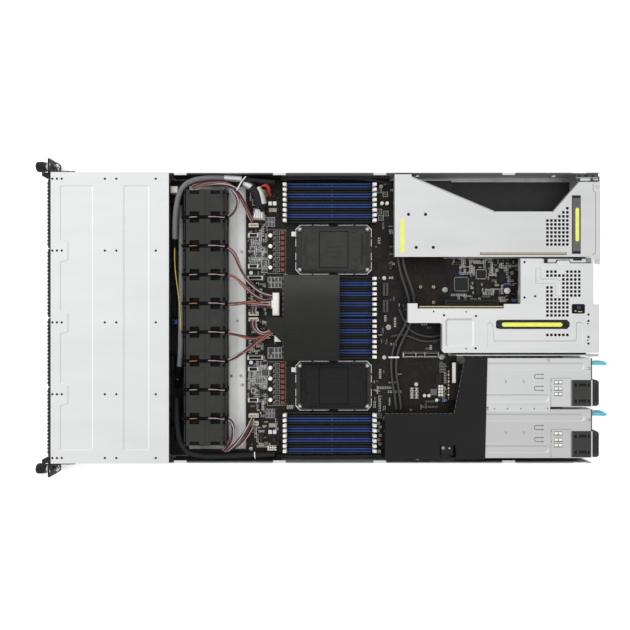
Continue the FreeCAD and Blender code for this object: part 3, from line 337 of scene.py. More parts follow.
STEEL = mat("zinc_sheet", (0.765, 0.77, 0.775), 0.46, 0.85, var=0.025, scale=14.0, bump=0.05, bscale=2600.0, rvar=0.06, stretch=(0.6, 3.0, 1.0))
# Painted highlight: a paler, glossier copy of the zinc sheet for the bright strips on the front cover's panel walls.
STEEL_HIGHLIGHT = mat("zinc_edge_painted_highlight", (0.97, 0.975, 0.98), 0.36, 0.70, var=0.02, scale=20.0, bump=0.04, bscale=2600.0, rvar=0.05)
# Painted shade: a darker copy of the zinc sheet for the outer faces of the side walls.
STEEL_WALL_SHADE = mat("zinc_sheet_painted_shade_wall", (0.43, 0.435, 0.44), 0.46, 0.85, var=0.025, scale=14.0, bump=0.05, bscale=2600.0, rvar=0.06, stretch=(0.6, 3.0, 1.0))
# Painted shade: a darker copy of the zinc sheet for the second supply.
STEEL_SUPPLY_SHADE = mat("zinc_sheet_painted_shade_supply_2", (0.68, 0.685, 0.68), 0.46, 0.85, var=0.025, scale=14.0, bump=0.05, bscale=2600.0, rvar=0.06, stretch=(0.6, 3.0, 1.0))
STEEL_B = mat("zinc_sheet_riser", (0.765, 0.77, 0.775), 0.45, 0.85, var=0.03, scale=16.0, bump=0.05, bscale=2600.0, rvar=0.06, stretch=(0.6, 3.0, 1.0))
STEEL_C = mat("zinc_sheet_riser_2", (0.845, 0.85, 0.855), 0.45, 0.85, var=0.03, scale=16.0, bump=0.05, bscale=2600.0, rvar=0.06, stretch=(0.6, 3.0, 1.0))
GALV = mat("galvanised_floor", (0.52, 0.515, 0.50), 0.42, 0.9, var=0.12, scale=70.0, bump=0.08, bscale=1500.0)
PLATED = mat("plated_frame", (0.38, 0.375, 0.36), 0.42, 0.9, var=0.10, scale=50.0, bump=0.06, bscale=2200.0)
SCREW = mat("screw_steel", (0.62, 0.62, 0.61), 0.33, 1.0, var=0.08, scale=200.0)
DARK_SCREW = mat("black_screw", (0.020, 0.020, 0.020), 0.45, 0.6, var=0.2, scale=300.0)
EAR = mat("ear_black", (0.012, 0.012, 0.013), 0.55, 0.0, spec=0.25, var=0.15, scale=80.0, bump=0.25, bscale=2400.0, wear=(0.05, 0.05, 0.05))
BLACK = mat("black_plastic", (0.018, 0.018, 0.018), 0.52, spec=0.3, var=0.12, scale=90.0, bump=0.22, bscale=2600.0)
BLACK_S = mat("black_plastic_satin", (0.010, 0.010, 0.0105), 0.38, spec=0.3, var=0.12, scale=90.0, bump=0.12, bscale=2600.0)
# Painted sheen: the guide sheet is darker towards -Y and full towards +Y, a painted reflection across it.
BAFFLE = mat("guide_sheet", (0.0430, 0.0425, 0.0395), 0.50, spec=0.2, var=0.10, scale=30.0, bump=0.12, bscale=2200.0, rvar=0.08,
             painted_sheen=(-0.050, 0.056, [(0.0, 0.25), (0.45, 0.36), (0.72, 0.52), (1.0, 1.0)]))
COVER = mat("dust_cover", (0.031, 0.031, 0.029), 0.48, spec=0.25, var=0.10, scale=60.0, bump=0.18, bscale=2400.0)
FAN = mat("fan_plastic", (0.027, 0.0275, 0.026), 0.52, spec=0.25, var=0.12, scale=70.0, bump=0.2, bscale=2600.0)
FAN_D = mat("fan_recess", (0.005, 0.005, 0.005), 0.6, spec=0.15, var=0.2, scale=120.0)
GREY = mat("dark_grey_plastic", (0.10, 0.10, 0.10), 0.5, var=0.10, scale=80.0, bump=0.2, bscale=2600.0)
BLUE = mat("slot_blue", (0.020, 0.045, 0.175), 0.45, spec=0.3, var=0.10, scale=90.0, bump=0.12, bscale=2400.0)
SLOT_K = mat("slot_black", (0.010, 0.010, 0.011), 0.45, spec=0.3, var=0.12, scale=90.0, bump=0.12, bscale=2400.0)
WHITE = mat("latch_white", (0.78, 0.77, 0.72), 0.5, var=0.04, scale=120.0, bump=0.1, bscale=2400.0)
CREAM = mat("connector_cream", (0.72, 0.66, 0.54), 0.5, var=0.06, scale=150.0, bump=0.1, bscale=2400.0)
TEAL = mat("release_teal", (0.11, 0.47, 0.56), 0.42, var=0.06, scale=90.0, bump=0.12, bscale=2400.0)
LIME = mat("lime_strip", (0.74, 0.78, 0.105), 0.45, var=0.05, scale=90.0, bump=0.1, bscale=2400.0)
COPPER = mat("choke_copper", (0.165, 0.056, 0.028), 0.50, 0.15, var=0.2, scale=260.0, bump=0.2, bscale=2200.0)
TAN = mat("board_edge_tan", (0.50, 0.42, 0.24), 0.65, var=0.15, scale=300.0, bump=0.2, bscale=2600.0)
GOLD = mat("gold_contact", (0.80, 0.58, 0.22), 0.3, 1.0, var=0.08, scale=200.0)
SILVER = mat("bright_can", (0.72, 0.72, 0.73), 0.32, 0.9, var=0.06, scale=200.0)
CHIP = mat("chip_black", (0.011, 0.011, 0.0115), 0.5, spec=0.3, var=0.15, scale=200.0, bump=0.15, bscale=3000.0)
CERAMIC = mat("chip_tan", (0.30, 0.265, 0.22), 0.55, var=0.15, scale=300.0)
FOIL = mat("foil_label", (0.66, 0.66, 0.66), 0.35, 0.75, var=0.08, scale=120.0, bump=0.3, bscale=700.0)
BLUE_CAP = mat("blue_cap", (0.03, 0.12, 0.42), 0.4, var=0.1, scale=200.0)
RUBBER = mat("rubber_black", (0.0035, 0.0035, 0.0035), 0.8, spec=0.08, var=0.15, scale=200.0, bump=0.25, bscale=2200.0)
SLEEVE = braid_mat("sleeve_grey", (0.075, 0.075, 0.077), (0.30, 0.30, 0.305), 520.0)
SLEEVE_K = braid_mat("sleeve_black", (0.004, 0.004, 0.004), (0.017, 0.017, 0.018), 620.0)
JACKET = mat("jacket_black", (0.007, 0.007, 0.0075), 0.45, spec=0.35, var=0.15, scale=120.0, bump=0.12, bscale=2000.0)
W_COL = {
    "orange": mat("wire_orange", (0.44, 0.165, 0.08), 0.42, var=0.10, scale=120.0),
    "navy": mat("wire_navy", (0.022, 0.028, 0.075), 0.42, var=0.12, scale=120.0),
    "pink": mat("wire_pink", (0.52, 0.34, 0.30), 0.45, var=0.08, scale=120.0),
    "maroon": mat("wire_maroon", (0.12, 0.034, 0.034), 0.42, var=0.12, scale=120.0),
    "yellow": mat("wire_yellow", (0.60, 0.42, 0.035), 0.42, var=0.10, scale=120.0),
    "white": mat("wire_white", (0.72, 0.72, 0.70), 0.45, var=0.05, scale=120.0),
    "red": mat("wire_red", (0.50, 0.035, 0.025), 0.42, var=0.10, scale=120.0),
    "pale": mat("wire_pale", (0.56, 0.52, 0.48), 0.45, var=0.08, scale=120.0),
    "black": JACKET,
}
STRIP = mat("floor_strip_zinc", (0.93, 0.93, 0.92), 0.55, 0.1, var=0.04, scale=40.0, bump=0.05, bscale=1800.0)
FRAME_D = mat("loading_frame", (0.036, 0.036, 0.035), 0.45, 0.3, spec=0.3, var=0.10, scale=90.0, bump=0.08, bscale=2200.0)
# Painted shade: the second socket's dust cover is the same plastic as the first, made darker.
COVER_SHADE_2 = mat("dust_cover_painted_shade", (0.0105, 0.0105, 0.0102), 0.48, spec=0.18, var=0.10, scale=60.0, bump=0.18, bscale=2400.0)
DUCT = mat("duct_sheet", (0.0112, 0.0112, 0.0108), 0.52, spec=0.18, var=0.10, scale=30.0, bump=0.12, bscale=2200.0, rvar=0.08)
INLET = mat("inlet_plastic", (0.034, 0.034, 0.033), 0.55, spec=0.25, var=0.10, scale=80.0, bump=0.22, bscale=2600.0)
GREY_D = mat("connector_grey", (0.050, 0.050, 0.050), 0.5, var=0.10, scale=80.0, bump=0.2, bscale=2600.0)
MASK = mat("mask_line", (0.42, 0.42, 0.40), 0.6, var=0.08, scale=200.0, bump=0.05)
SHADE = mat("line_shadow", (0.23, 0.23, 0.235), 0.55, 0.5, var=0.08, scale=120.0, bump=0.05)
PURPLE = mat("wire_purple", (0.13, 0.045, 0.12), 0.42, var=0.12, scale=120.0)
CABLE_G = mat("jacket_satin", (0.030, 0.030, 0.031), 0.34, spec=0.6, var=0.12, scale=120.0, bump=0.1, bscale=2000.0)
PCB = board_mat("main_board", (0.0060, 0.0055, 0.0046), (0.0165, 0.0138, 0.0110), (0.085, 0.078, 0.06))
PCB_R = board_mat("riser_board", (0.010, 0.010, 0.009), (0.030, 0.024, 0.020), (0.12, 0.10, 0.06))
FLOOR = mat("studio_floor", (0.985, 0.985, 0.985), 0.85, var=0.004, scale=3.0, bump=0.02, bscale=300.0, rvar=0.03, spec=0.1)


fb = FLOOR.node_tree.nodes["Principled BSDF"]
fb.inputs["Emission Color"].default_value = (1.0, 1.0, 1.0, 1)
fb.inputs["Emission Strength"].default_value = 0.35


# ------------------------------------------------------------------ mesh builder (millimetres)
def inset(pts, c):
    """A closed outline, counter-clockwise, moved inwards by c."""
    n, out = len(pts), []
    for i in range(n):
        p, q, r = Vector(pts[i - 1]), Vector(pts[i]), Vector(pts[(i + 1) % n])
        d1, d2 = (q - p).normalized(), (r - q).normalized()
        n1, n2 = Vector((-d1.y, d1.x)), Vector((-d2.y, d2.x))
        den = 1 + n1.dot(n2)
        off = (n1 + n2) / den * c if den > 0.2 else n1 * c
        out.append((q.x + off.x, q.y + off.y))
    return out


def ccw(pts):
    area2 = sum(pts[i][0] * pts[(i + 1) % len(pts)][1] - pts[(i + 1) % len(pts)][0] * pts[i][1] for i in range(len(pts)))
    return pts[::-1] if area2 < 0 else list(pts)


def cham(x0, y0, x1, y1, c):
    return [(x0 + c, y0), (x1 - c, y0), (x1, y0 + c), (x1, y1 - c), (x1 - c, y1), (x0 + c, y1), (x0, y1 - c), (x0, y0 + c)]


class MB:
    """Gathers solid pieces, in millimetres, into one mesh with several finishes."""

    def __init__(self):
        self.v, self.f, self.k, self.mats = [], [], [], []

    def mi(self, m):
        if m not in self.mats:
            self.mats.append(m)
        return self.mats.index(m)

    def loops(self, rings, m, close=True):
        """Stacked rings of equal count, bottom to top, with both ends closed."""
        k, base, n = self.mi(m), len(self.v), len(rings[0])
        for r in rings:
            self.v += [tuple(p) for p in r]
        for j in range(len(rings) - 1):
            for i in range(n):
                a, b = base + j * n + i, base + j * n + (i + 1) % n
                self.f.append((a, b, b + n, a + n))
                self.k.append(k)
        if close:
            self.f.append(tuple(base + i for i in reversed(range(n))))
            self.f.append(tuple(base + (len(rings) - 1) * n + i for i in range(n)))
            self.k += [k, k]

    def prism(self, pts, z0, z1, m, c=0.0):
        area2 = sum(pts[i][0] * pts[(i + 1) % len(pts)][1] - pts[(i + 1) % len(pts)][0] * pts[i][1] for i in range(len(pts)))
        if area2 < 0:
            pts = pts[::-1]
        low = [(x, y, z0) for x, y in pts]
        if c <= 0:
            self.loops([low, [(x, y, z1) for x, y in pts]], m)
            return
        self.loops([low, [(x, y, z1 - c) for x, y in pts], [(x, y, z1) for x, y in inset(pts, c)]], m)

    def rim(self, pts, z0, z1, w, m):
        """The sloping wall round the inside of a sunk field: from its edge at z1 to its floor at z0."""
        pts = ccw(pts)
        k, base, n = self.mi(m), len(self.v), len(pts)
        o, q = inset(pts, 0.02), inset(pts, w)
        for i in range(n):
            self.v += [(o[i][0], o[i][1], z0), (o[i][0], o[i][1], z1), (q[i][0], q[i][1], z0)]
        for i in range(n):
            a, b = base + 3 * i, base + 3 * ((i + 1) % n)
            self.f += [(a, b, b + 1, a + 1), (a + 1, b + 1, b + 2, a + 2), (a + 2, b + 2, b, a)]
            self.k += [k, k, k]

    def pill(self, x0, x1, y0, y1, z0, z1, m, c=0.0):
        """A flat strip with round ends, along its longer side."""
        pts, n = [], 8
        if x1 - x0 > y1 - y0:
            r, y = (y1 - y0) / 2, (y0 + y1) / 2
            ends = ((x1 - r, y, -90), (x0 + r, y, 90))
        else:
            r, x = (x1 - x0) / 2, (x0 + x1) / 2
            ends = ((x, y1 - r, 0), (x, y0 + r, 180))
        for x, y, a0 in ends:
            for i in range(n + 1):
                t = math.radians(a0 + 180 * i / n)
                pts.append((x + r * math.cos(t), y + r * math.sin(t)))
        self.prism(pts, z0, z1, m, c)

    def arc(self, x, y, r0, r1, a0, a1, z0, z1, m, n=10):
        """Part of a flat ring."""
        t = [math.radians(a0 + (a1 - a0) * i / n) for i in range(n + 1)]
        self.prism([(x + r1 * math.cos(a), y + r1 * math.sin(a)) for a in t] + [(x + r0 * math.cos(a), y + r0 * math.sin(a)) for a in reversed(t)], z0, z1, m)

    def line(self, pts, w, z0, z1, m):
        """A thin flat line through the points."""
        for p, q in zip(pts[:-1], pts[1:]):
            p, q = Vector(p), Vector(q)
            t = (q - p).normalized() * (w / 2)
            u = Vector((-t.y, t.x))
            self.prism([tuple(p - t + u), tuple(p - t - u), tuple(q + t - u), tuple(q + t + u)], z0, z1, m)

    def frame(self, x0, x1, y0, y1, z0, z1, w, m):
        """A thin rectangular outline."""
        self.box(x0, x1, y0, y0 + w, z0, z1, m)
        self.box(x0, x1, y1 - w, y1, z0, z1, m)
        self.box(x0, x0 + w, y0 + w, y1 - w, z0, z1, m)
        self.box(x1 - w, x1, y0 + w, y1 - w, z0, z1, m)

    def box(self, x0, x1, y0, y1, z0, z1, m, c=0.0):
        self.prism([(x0, y0), (x1, y0), (x1, y1), (x0, y1)], z0, z1, m, c)

    def blk(self, x, y, lx, ly, z0, h, m, c=0.12):
        self.box(x - lx / 2, x + lx / 2, y - ly / 2, y + ly / 2, z0, z0 + h, m, c)

    def turn(self, x, y, profile, m, n=20, axis="Z", z=0.0):
        """A turned piece: profile is (height, radius) from its foot to its head."""
        rings = []
        for h, r in profile:
            ring = []
            for i in range(n):
                a = 2 * math.pi * i / n
                u, w = r * math.cos(a), r * math.sin(a)
                if axis == "Z":
                    ring.append((x + u, y + w, z + h))
                elif axis == "X":
                    ring.append((x + h, y + u, z + w))
                else:
                    ring.append((x + w, y + h, z + u))
            rings.append(ring)
        self.loops(rings, m)

    def screw(self, x, y, z, r, h, m=None, slot=True):
        m = m or SCREW
        self.turn(x, y, [(0, r), (h * 0.6, r), (h, r * 0.72)], m, 18, z=z)
        if slot:
            for a in (0.4, 0.4 + math.pi / 2):
                c, s = math.cos(a), math.sin(a)
                w, l = r * 0.13, r * 0.52
                pts = [(x + c * l - s * w, y + s * l + c * w), (x - c * l - s * w, y - s * l + c * w), (x - c * l + s * w, y - s * l - c * w), (x + c * l + s * w, y + s * l - c * w)]
                self.prism(pts, z + h - 0.05, z + h + 0.03, DARK_SCREW)

    def build(self, name, body, slot=None, smooth=False, bevel=0.0):
        me = bpy.data.meshes.new(name)
        me.from_pydata([(a * MM, b * MM, c * MM) for a, b, c in self.v], [], self.f)
        for m in self.mats:
            me.materials.append(m)
        me.polygons.foreach_set("material_index", self.k)
        if smooth:
            me.polygons.foreach_set("use_smooth", [True] * len(self.f))
        me.update()
        o = bpy.data.objects.new(name, me)
        scene.collection.objects.link(o)
        if bevel:
            b = o.modifiers.new("edge", "BEVEL")
            b.width, b.segments, b.limit_method = bevel * MM, 2, "ANGLE"
            b.angle_limit = math.radians(40)
        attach(o, body)
        return o


def paint(node, base, rules=(), bevel=0.0):
    """Finishes of a CAD node: one for all of it, and others for the faces whose middle lies in a box (mm)."""
    o = N[node]
    o.data.materials.clear()
    o.data.materials.append(base)
    idx = {}
    for m, _ in rules:
        if m.name not in idx:
            idx[m.name] = len(o.data.materials)
            o.data.materials.append(m)
    me = o.data
    ks = [0] * len(me.polygons)
    if rules:
        for p in me.polygons:
            x, y, z = (c * 1000 for c in p.center)
            for m, (x0, x1, y0, y1, z0, z1) in rules:
                if x0 <= x <= x1 and y0 <= y <= y1 and z0 <= z <= z1:
                    ks[p.index] = idx[m.name]
    me.polygons.foreach_set("material_index", ks)
    if bevel:
        b = o.modifiers.new("edge", "BEVEL")
        b.width, b.segments, b.limit_method = bevel * MM, 2, "ANGLE"
        b.angle_limit = math.radians(40)


BIG = 9999.0
ALL = (-BIG, BIG, -BIG, BIG, -BIG, BIG)


def both(x0, x1, y0, y1, z0, z1):
    return [(x0, x1, y0, y1, z0, z1), (x0, x1, -y1, -y0, z0, z1)]


# ------------------------------------------------------------------ finishes of the CAD nodes
paint("chassis_floor", GALV)
# The outer faces of the side walls take the darker zinc copy: painted shade.
paint("side_walls", STEEL, [(STEEL_WALL_SHADE, b) for b in both(-BIG, BIG, 219.6, 221.0, -BIG, BIG)])
paint("front_cover", STEEL)
paint("drive_bay_walls", GALV)
paint("rack_ears", EAR)
for side in ("left", "right"):
    paint(side + "_thumbscrew", BLACK_S, [(SCREW, (-423.6, -400, -BIG, BIG, -BIG, BIG))])
paint("power_button", SILVER)
paint("id_button", SILVER)
for n in (1, 2, 3, 4):
    paint("drive_carrier_%d" % n, BLACK, [(GALV, (-401.2, BIG, -BIG, BIG, -BIG, BIG))])
    paint("carrier_lever_%d" % n, BLACK_S)
    paint("carrier_button_%d" % n, TEAL)
paint("drive_backplane", PCB_R, [(BLACK_S, (-244, -238.05, -BIG, BIG, -BIG, BIG)), (BLACK_S, (-235.95, -225, -BIG, BIG, -BIG, BIG))])
paint("fan_cage", BLACK)
fan_rules = []
for y in FAN_Y:
    for a, b in ((-197.7, -182.8), (-166.1, -151.2)):
        fan_rules.append((FAN_D, (a, b, y - 20.2, y - 13.1, 36.9, 37.3)))
        fan_rules.append((FAN_D, (a, b, y + 13.1, y + 20.2, 36.9, 37.3)))
paint("fan_frames", FAN, fan_rules)
for i in range(1, 10):
    paint("fan_rotor_%d" % i, BLACK_S)
paint("motherboard", PCB)
paint("dimm_slots_blue", BLUE)
paint("dimm_slots_black", SLOT_K)
paint("dimm_latches_front", WHITE)
paint("dimm_latches_rear", WHITE)
sock = []
for s in (1, -1):
    sock.append((BLACK_S, (20.9 - 44.2, 20.9 + 44.2, s * 106 - 31.7, s * 106 + 31.7, -BIG, BIG)))
    for a in (1, -1):
        for b in (1, -1):
            sock.append((DARK_SCREW, (20.9 + a * 52.5 - 3.3, 20.9 + a * 52.5 + 3.3, s * 106 + b * 31.5 - 3.3, s * 106 + b * 31.5 + 3.3, 12.8, 17)))
paint("cpu_socket_frames", FRAME_D, sock)
# The second cover is painted in the darker copy: painted shade.
for n, s, m in ((1, 1, COVER), (2, -1, COVER_SHADE_2)):
    paint("socket_cover_%d" % n, m, [(BLACK_S, (20.9 + 42.9, 20.9 + 45.1, s * 106 - 24.6, s * 106 + 24.6, TOP + 7.2, TOP + 9))])
paint("center_air_baffle", BAFFLE)
paint("psu_air_baffle", DUCT)
# The walls of the vent holes in the riser brackets are painted black: painted shade inside the holes.
paint("riser_bracket_1", STEEL_B, [(FAN_D, (338, 377.5, 106, 170, 42.3, 42.885))])
paint("riser_bracket_2", STEEL_C, [(FAN_D, (338, 395, -30, 75, 42.3, 42.885))])
paint("riser_card_1", PCB_R, [(TAN, (-BIG, BIG, 95.95, 97.45, 43.3, 44)), (BLACK_S, (261.9, 352.1, 97.6, 109, 23.9, 31.6)), (GOLD, (241, 330.5, 95.8, 97.6, 11.9, 18.9))])
paint("riser_card_2", PCB_R, [(TAN, (-BIG, BIG, 16.05, 17.55, 43.3, 44)), (BLACK_S, (181.9, 272.1, 2.9, 15.9, 23.9, 31.6)), (GOLD, (179.5, 268.5, 15.9, 17.7, 11.9, 18.9))])
paint("riser_latch_1", GREY)
paint("riser_handle_2", BLACK)
# The second supply's case is painted in the darker zinc copy: painted shade.
for n, yc in zip((1, 2), PSU_Y):
    c = yc - 15.8
    paint("psu_body_%d" % n, STEEL if n == 1 else STEEL_SUPPLY_SHADE, [(PCB_R, (205, 379.6, yc - 26.1, yc + 26.1, 13.9, 15.7))])
    paint("psu_handle_%d" % n, INLET, [(SILVER, (394, 409.5, c + a - 1.1, c + a + 1.1, z - 0.1, z + 4.1)) for a, z in ((-7.0, 22.6), (0.0, 26.4), (7.0, 22.6))])
    paint("psu_latch_%d" % n, TEAL)
paint("rear_frame", STEEL)
paint("rear_ports", SILVER, [(CREAM, (394.4, 407.6, y - 5.3, y + 5.3, 10.5, 11.9)) for y in (12.0, -6.0)])
rules = []
for s in (1, -1):
    rules += [(COPPER, b) for b in both(-61.6, -55.4, 70.0, 136.5, TOP, 15)]
    rules += [(WHITE, b) for b in both(-80.6, -74.4, 74.5, 131.5, TOP - 1, 18)]
    rules += [(SILVER, b) for b in both(-81, -68, 174.9, 181.1, TOP, 14)]
    rules += [(CERAMIC, b) for b in both(-80.1, -67.9, 164.9, 171.1, TOP, 13)]
for x, y in ((-103.5, 143.5), (-103.5, 6.0), (-103.5, -3.2), (-103.5, -152.5), (-103.5, -164.5)):
    rules.append((CREAM, (x - 7.6, x + 7.6, y - 2.6, y + 2.6, TOP - 1, 17)))
rules.append((WHITE, (-73.3, -63.3, 3.5, 38.5, TOP - 1, 26)))
rules.append((WHITE, (-67.7, -60.9, -27.1, -9.9, TOP - 1, 24)))
rules.append((CREAM, (-82.1, -67.9, -206.6, -199.4, TOP - 1, 16)))
for x, y in ((162.0, -121.0), (169.0, -121.0), (181.0, -128.0)):
    rules.append((SILVER, (x - 2.7, x + 2.7, y - 2.7, y + 2.7, 15.9, 17)))
rules += [(WHITE, (93, 107, 175, 181, TOP - 1, 17))]
rules.append((GREY, (171.9, 182.1, -121.1, -110.9, TOP - 1, 14)))
paint("board_components", CHIP, rules)
paint("screws", SCREW, [(FAN_D, (-BIG, BIG, -BIG, BIG, 42.5, 45)), (DARK_SCREW, (-400, -370, -BIG, BIG, 5, 40))])


# ------------------------------------------------------------------ cables: smooth lines through the routes of the CAD tubes
ROUTES = {
    "sleeve_a": (4.2, [(-70.0, 207.5, 30.0), (-100.0, 210.0, 31.5), (-140.0, 213.0, 33.0), (-176.0, 213.2, 35.5), (-202.0, 206.5, 37.0), (-214.5, 190.0, 37.4), (-219.5, 164.0, 36.6), (-221.5, 136.0, 35.0), (-221.8, 108.0, 32.0)]),
    "sleeve_b": (4.2, [(-216.5, 172.0, 24.5), (-213.8, 148.0, 27.0), (-212.6, 118.0, 30.0), (-212.2, 84.0, 31.5), (-212.0, 50.0, 32.5), (-212.3, 16.0, 33.0), (-212.5, -18.0, 33.0), (-213.4, -48.0, 31.0), (-216.0, -74.0, 26.0), (-220.0, -94.0, 19.0), (-223.0, -108.0, 12.5)]),
    "lower_run_a": (4.4, [(-222.0, -124.0, 21.0), (-220.6, -142.0, 25.5), (-219.0, -164.0, 28.5), (-215.0, -188.0, 30.0), (-205.5, -205.5, 30.2), (-186.0, -211.8, 30.0), (-160.0, -213.2, 29.0), (-130.0, -212.6, 27.0), (-100.0, -211.8, 25.0), (-70.0, -211.5, 23.5)]),
    "wall_run_top": (2.4, [(-60.0, 212.5, 27.0), (-20.0, 213.3, 27.6), (20.0, 213.6, 28.0), (60.0, 213.0, 28.0), (90.0, 210.5, 27.0), (108.0, 205.0, 26.0)]),
    "wall_run_low": (2.4, [(-66.0, -212.6, 27.0), (-20.0, -213.2, 27.0), (30.0, -213.4, 27.0), (80.0, -212.9, 26.0), (94.0, -211.9, 25.6)]),
    "riser_lead_a": (2.6, [(119.0, 112.0, 24.0), (119.5, 94.0, 24.4), (122.0, 76.0, 25.0), (127.0, 58.0, 24.6), (133.5, 41.0, 22.5), (138.5, 24.0, 18.6), (138.5, 6.0, 15.8), (131.5, -14.0, 15.3), (119.5, -33.0, 15.1), (112.0, -53.0, 15.0), (110.0, -76.0, 15.2), (112.5, -100.0, 15.4), (116.5, -122.0, 15.2), (118.5, -142.5, 15.0)]),
    "riser_lead_b": (2.6, [(125.0, 112.0, 28.0), (126.0, 94.0, 28.0), (129.5, 76.0, 27.6), (135.5, 59.0, 26.4), (142.0, 43.0, 23.4), (146.0, 28.0, 18.8), (146.0, 10.0, 15.8), (139.5, -14.0, 15.3), (127.0, -37.0, 15.1), (119.5, -57.0, 15.0), (117.6, -79.0, 15.2), (120.2, -101.0, 15.4), (124.0, -122.0, 15.2), (125.8, -142.5, 15.0)]),
    "bundle_top": (2.8, [(-194.0, 198.6, 36.0), (-184.0, 201.6, 38.2), (-170.0, 203.4, 39.2), (-155.0, 203.8, 39.3), (-141.0, 202.2, 38.8), (-130.0, 196.8, 37.6), (-122.0, 187.0, 35.0), (-116.0, 174.0, 31.0), (-110.0, 160.5, 25.0), (-105.6, 149.5, 19.4)]),
    "drop_run": (3.8, [(-126.0, 206.2, 27.0), (-113.0, 204.6, 28.6), (-101.5, 199.0, 29.4), (-94.0, 189.0, 28.6), (-91.0, 177.0, 25.6), (-90.2, 166.0, 20.6), (-91.4, 157.0, 14.6)]),
}
LEADS = [
    [(-143.0, 152.0, 37.5), (-135.5, 156.0, 37.2), (-128.0, 164.5, 37.0), (-124.5, 176.0, 37.6), (-127.0, 187.0, 39.8), (-133.5, 194.5, 42.0)],
    [(-143.0, 108.5, 37.5), (-136.0, 104.5, 37.0), (-128.0, 93.0, 36.0), (-123.0, 77.0, 34.0), (-114.0, 60.0, 32.0), (-101.0, 46.0, 29.0), (-88.0, 36.0, 25.0), (-74.4, 31.0, 22.0)],
    [(-143.0, 65.0, 37.5), (-132.0, 64.0, 37.0), (-121.0, 54.0, 35.0), (-108.0, 40.0, 32.0), (-95.0, 29.0, 28.0), (-84.0, 25.0, 24.0), (-74.4, 23.0, 21.0)],
    [(-143.0, 21.6, 37.5), (-129.0, 20.6, 36.6), (-115.0, 23.0, 34.0), (-101.0, 23.8, 30.0), (-87.0, 19.0, 25.0), (-74.6, 17.5, 20.0)],
    [(-143.0, -21.9, 37.5), (-130.0, -25.5, 36.6), (-116.0, -29.0, 34.0), (-102.0, -33.0, 30.0), (-90.0, -30.0, 26.0), (-80.0, -22.0, 23.0), (-75.0, -12.0, 20.0)],
    [(-143.0, -65.0, 37.5), (-133.0, -62.0, 37.2), (-119.0, -53.5, 36.0), (-105.0, -43.5, 33.5), (-92.0, -34.0, 30.0), (-80.0, -25.5, 27.0), (-69.4, -18.2, 24.4)],
    [(-143.0, -152.0, 37.5), (-136.0, -156.0, 36.4), (-132.0, -167.0, 34.6), (-133.4, -181.0, 32.6), (-138.4, -193.6, 31.4), (-149.0, -202.6, 30.6)],
    [(-103.6, -156.4, 18.4), (-107.6, -164.0, 22.6), (-114.6, -174.6, 26.6), (-122.6, -185.2, 29.2), (-131.6, -194.8, 30.4), (-142.4, -203.0, 31.0)],
    [(-103.8, -168.4, 18.4), (-108.6, -176.4, 22.0), (-115.8, -185.6, 24.8), (-124.4, -193.8, 25.8), (-134.6, -200.6, 25.6), (-147.0, -204.8, 24.8)],
]


def curve(name, lines, r, m, body="chassis", res=6):
    """One or several smooth leads of one finish; each line's points are the control points of its spline."""
    cu = bpy.data.curves.new(name, "CURVE")
    cu.dimensions = "3D"
    cu.bevel_depth = r * MM
    cu.bevel_resolution = 3
    cu.resolution_u = res
    cu.use_fill_caps = True
    for pts in lines:
        sp = cu.splines.new("NURBS")
        sp.points.add(len(pts) - 1)
        for p, q in zip(sp.points, pts):
            p.co = (q[0] * MM, q[1] * MM, q[2] * MM, 1)
        sp.order_u = 3
        sp.use_endpoint_u = True
    cu.materials.append(m)
    o = bpy.data.objects.new(name, cu)
    scene.collection.objects.link(o)
    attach(o, body)
    return o


def strand(pts, k, n, spread, seed):
    """Strand k of n in a loose bundle along pts: it winds slowly about the middle line."""
    rnd = random.Random(seed * 97 + k)
    out = []
    ph = 2 * math.pi * k / n
    for i, p in enumerate(pts):
        a, b = Vector(pts[max(i - 1, 0)]), Vector(pts[min(i + 1, len(pts) - 1)])
        d = (b - a).normalized()
        u = d.cross(Vector((0, 0, 1)))
        u = u.normalized() if u.length > 1e-3 else Vector((1, 0, 0))
        w = u.cross(d).normalized()
        t = ph + 0.55 * i
        s = spread * (0.75 + 0.5 * rnd.random())
        q = Vector(p) + u * (s * math.cos(t)) + w * (s * math.sin(t))
        out.append((q.x, q.y, q.z))
    return out


first = curve("sleeve_runs", [[(-121.0, 211.6, 32.2)] + ROUTES["sleeve_a"][1][2:], ROUTES["sleeve_b"][1][:-1]], 4.2, SLEEVE, res=10)
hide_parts("internal_cables")
curve("sleeve_tail", [ROUTES["sleeve_a"][1][:2] + [(-122.0, 211.7, 32.3)]], 3.5, SLEEVE_K, res=10)
curve("sleeve_collars", [[(-221.5, 120.0, 33.4), (-221.8, 112.0, 32.4), (-221.8, 104.0, 31.2)], ROUTES["sleeve_b"][1][-3:]], 4.6, RUBBER, res=8)
curve("sleeve_ends", [[(-221.8 + dx, 106.0, 31.4), (-222.2 + dx, 84.0, 26.0), (-221.8 + dx, 56.0, 17.0), (-222.4 + dx, 26.0, 9.0), (-221.4 + dx, 0.0, 6.0)] for dx in (-2.0, 0.0, 2.0)], 1.3, JACKET)
curve("sleeve_low", [ROUTES["lower_run_a"][1]], 4.4, SLEEVE_K, res=10)
curve("sleeve_drop", [ROUTES["drop_run"][1]], 3.8, SLEEVE_K, res=10)
curve("wall_runs", [strand(ROUTES[k][1], j, 3, 1.0, 5) for k in ("wall_run_top", "wall_run_low") for j in range(3)], 1.1, JACKET)
curve("riser_leads", [ROUTES["riser_lead_a"][1], ROUTES["riser_lead_b"][1]], 2.2, CABLE_G, res=10)
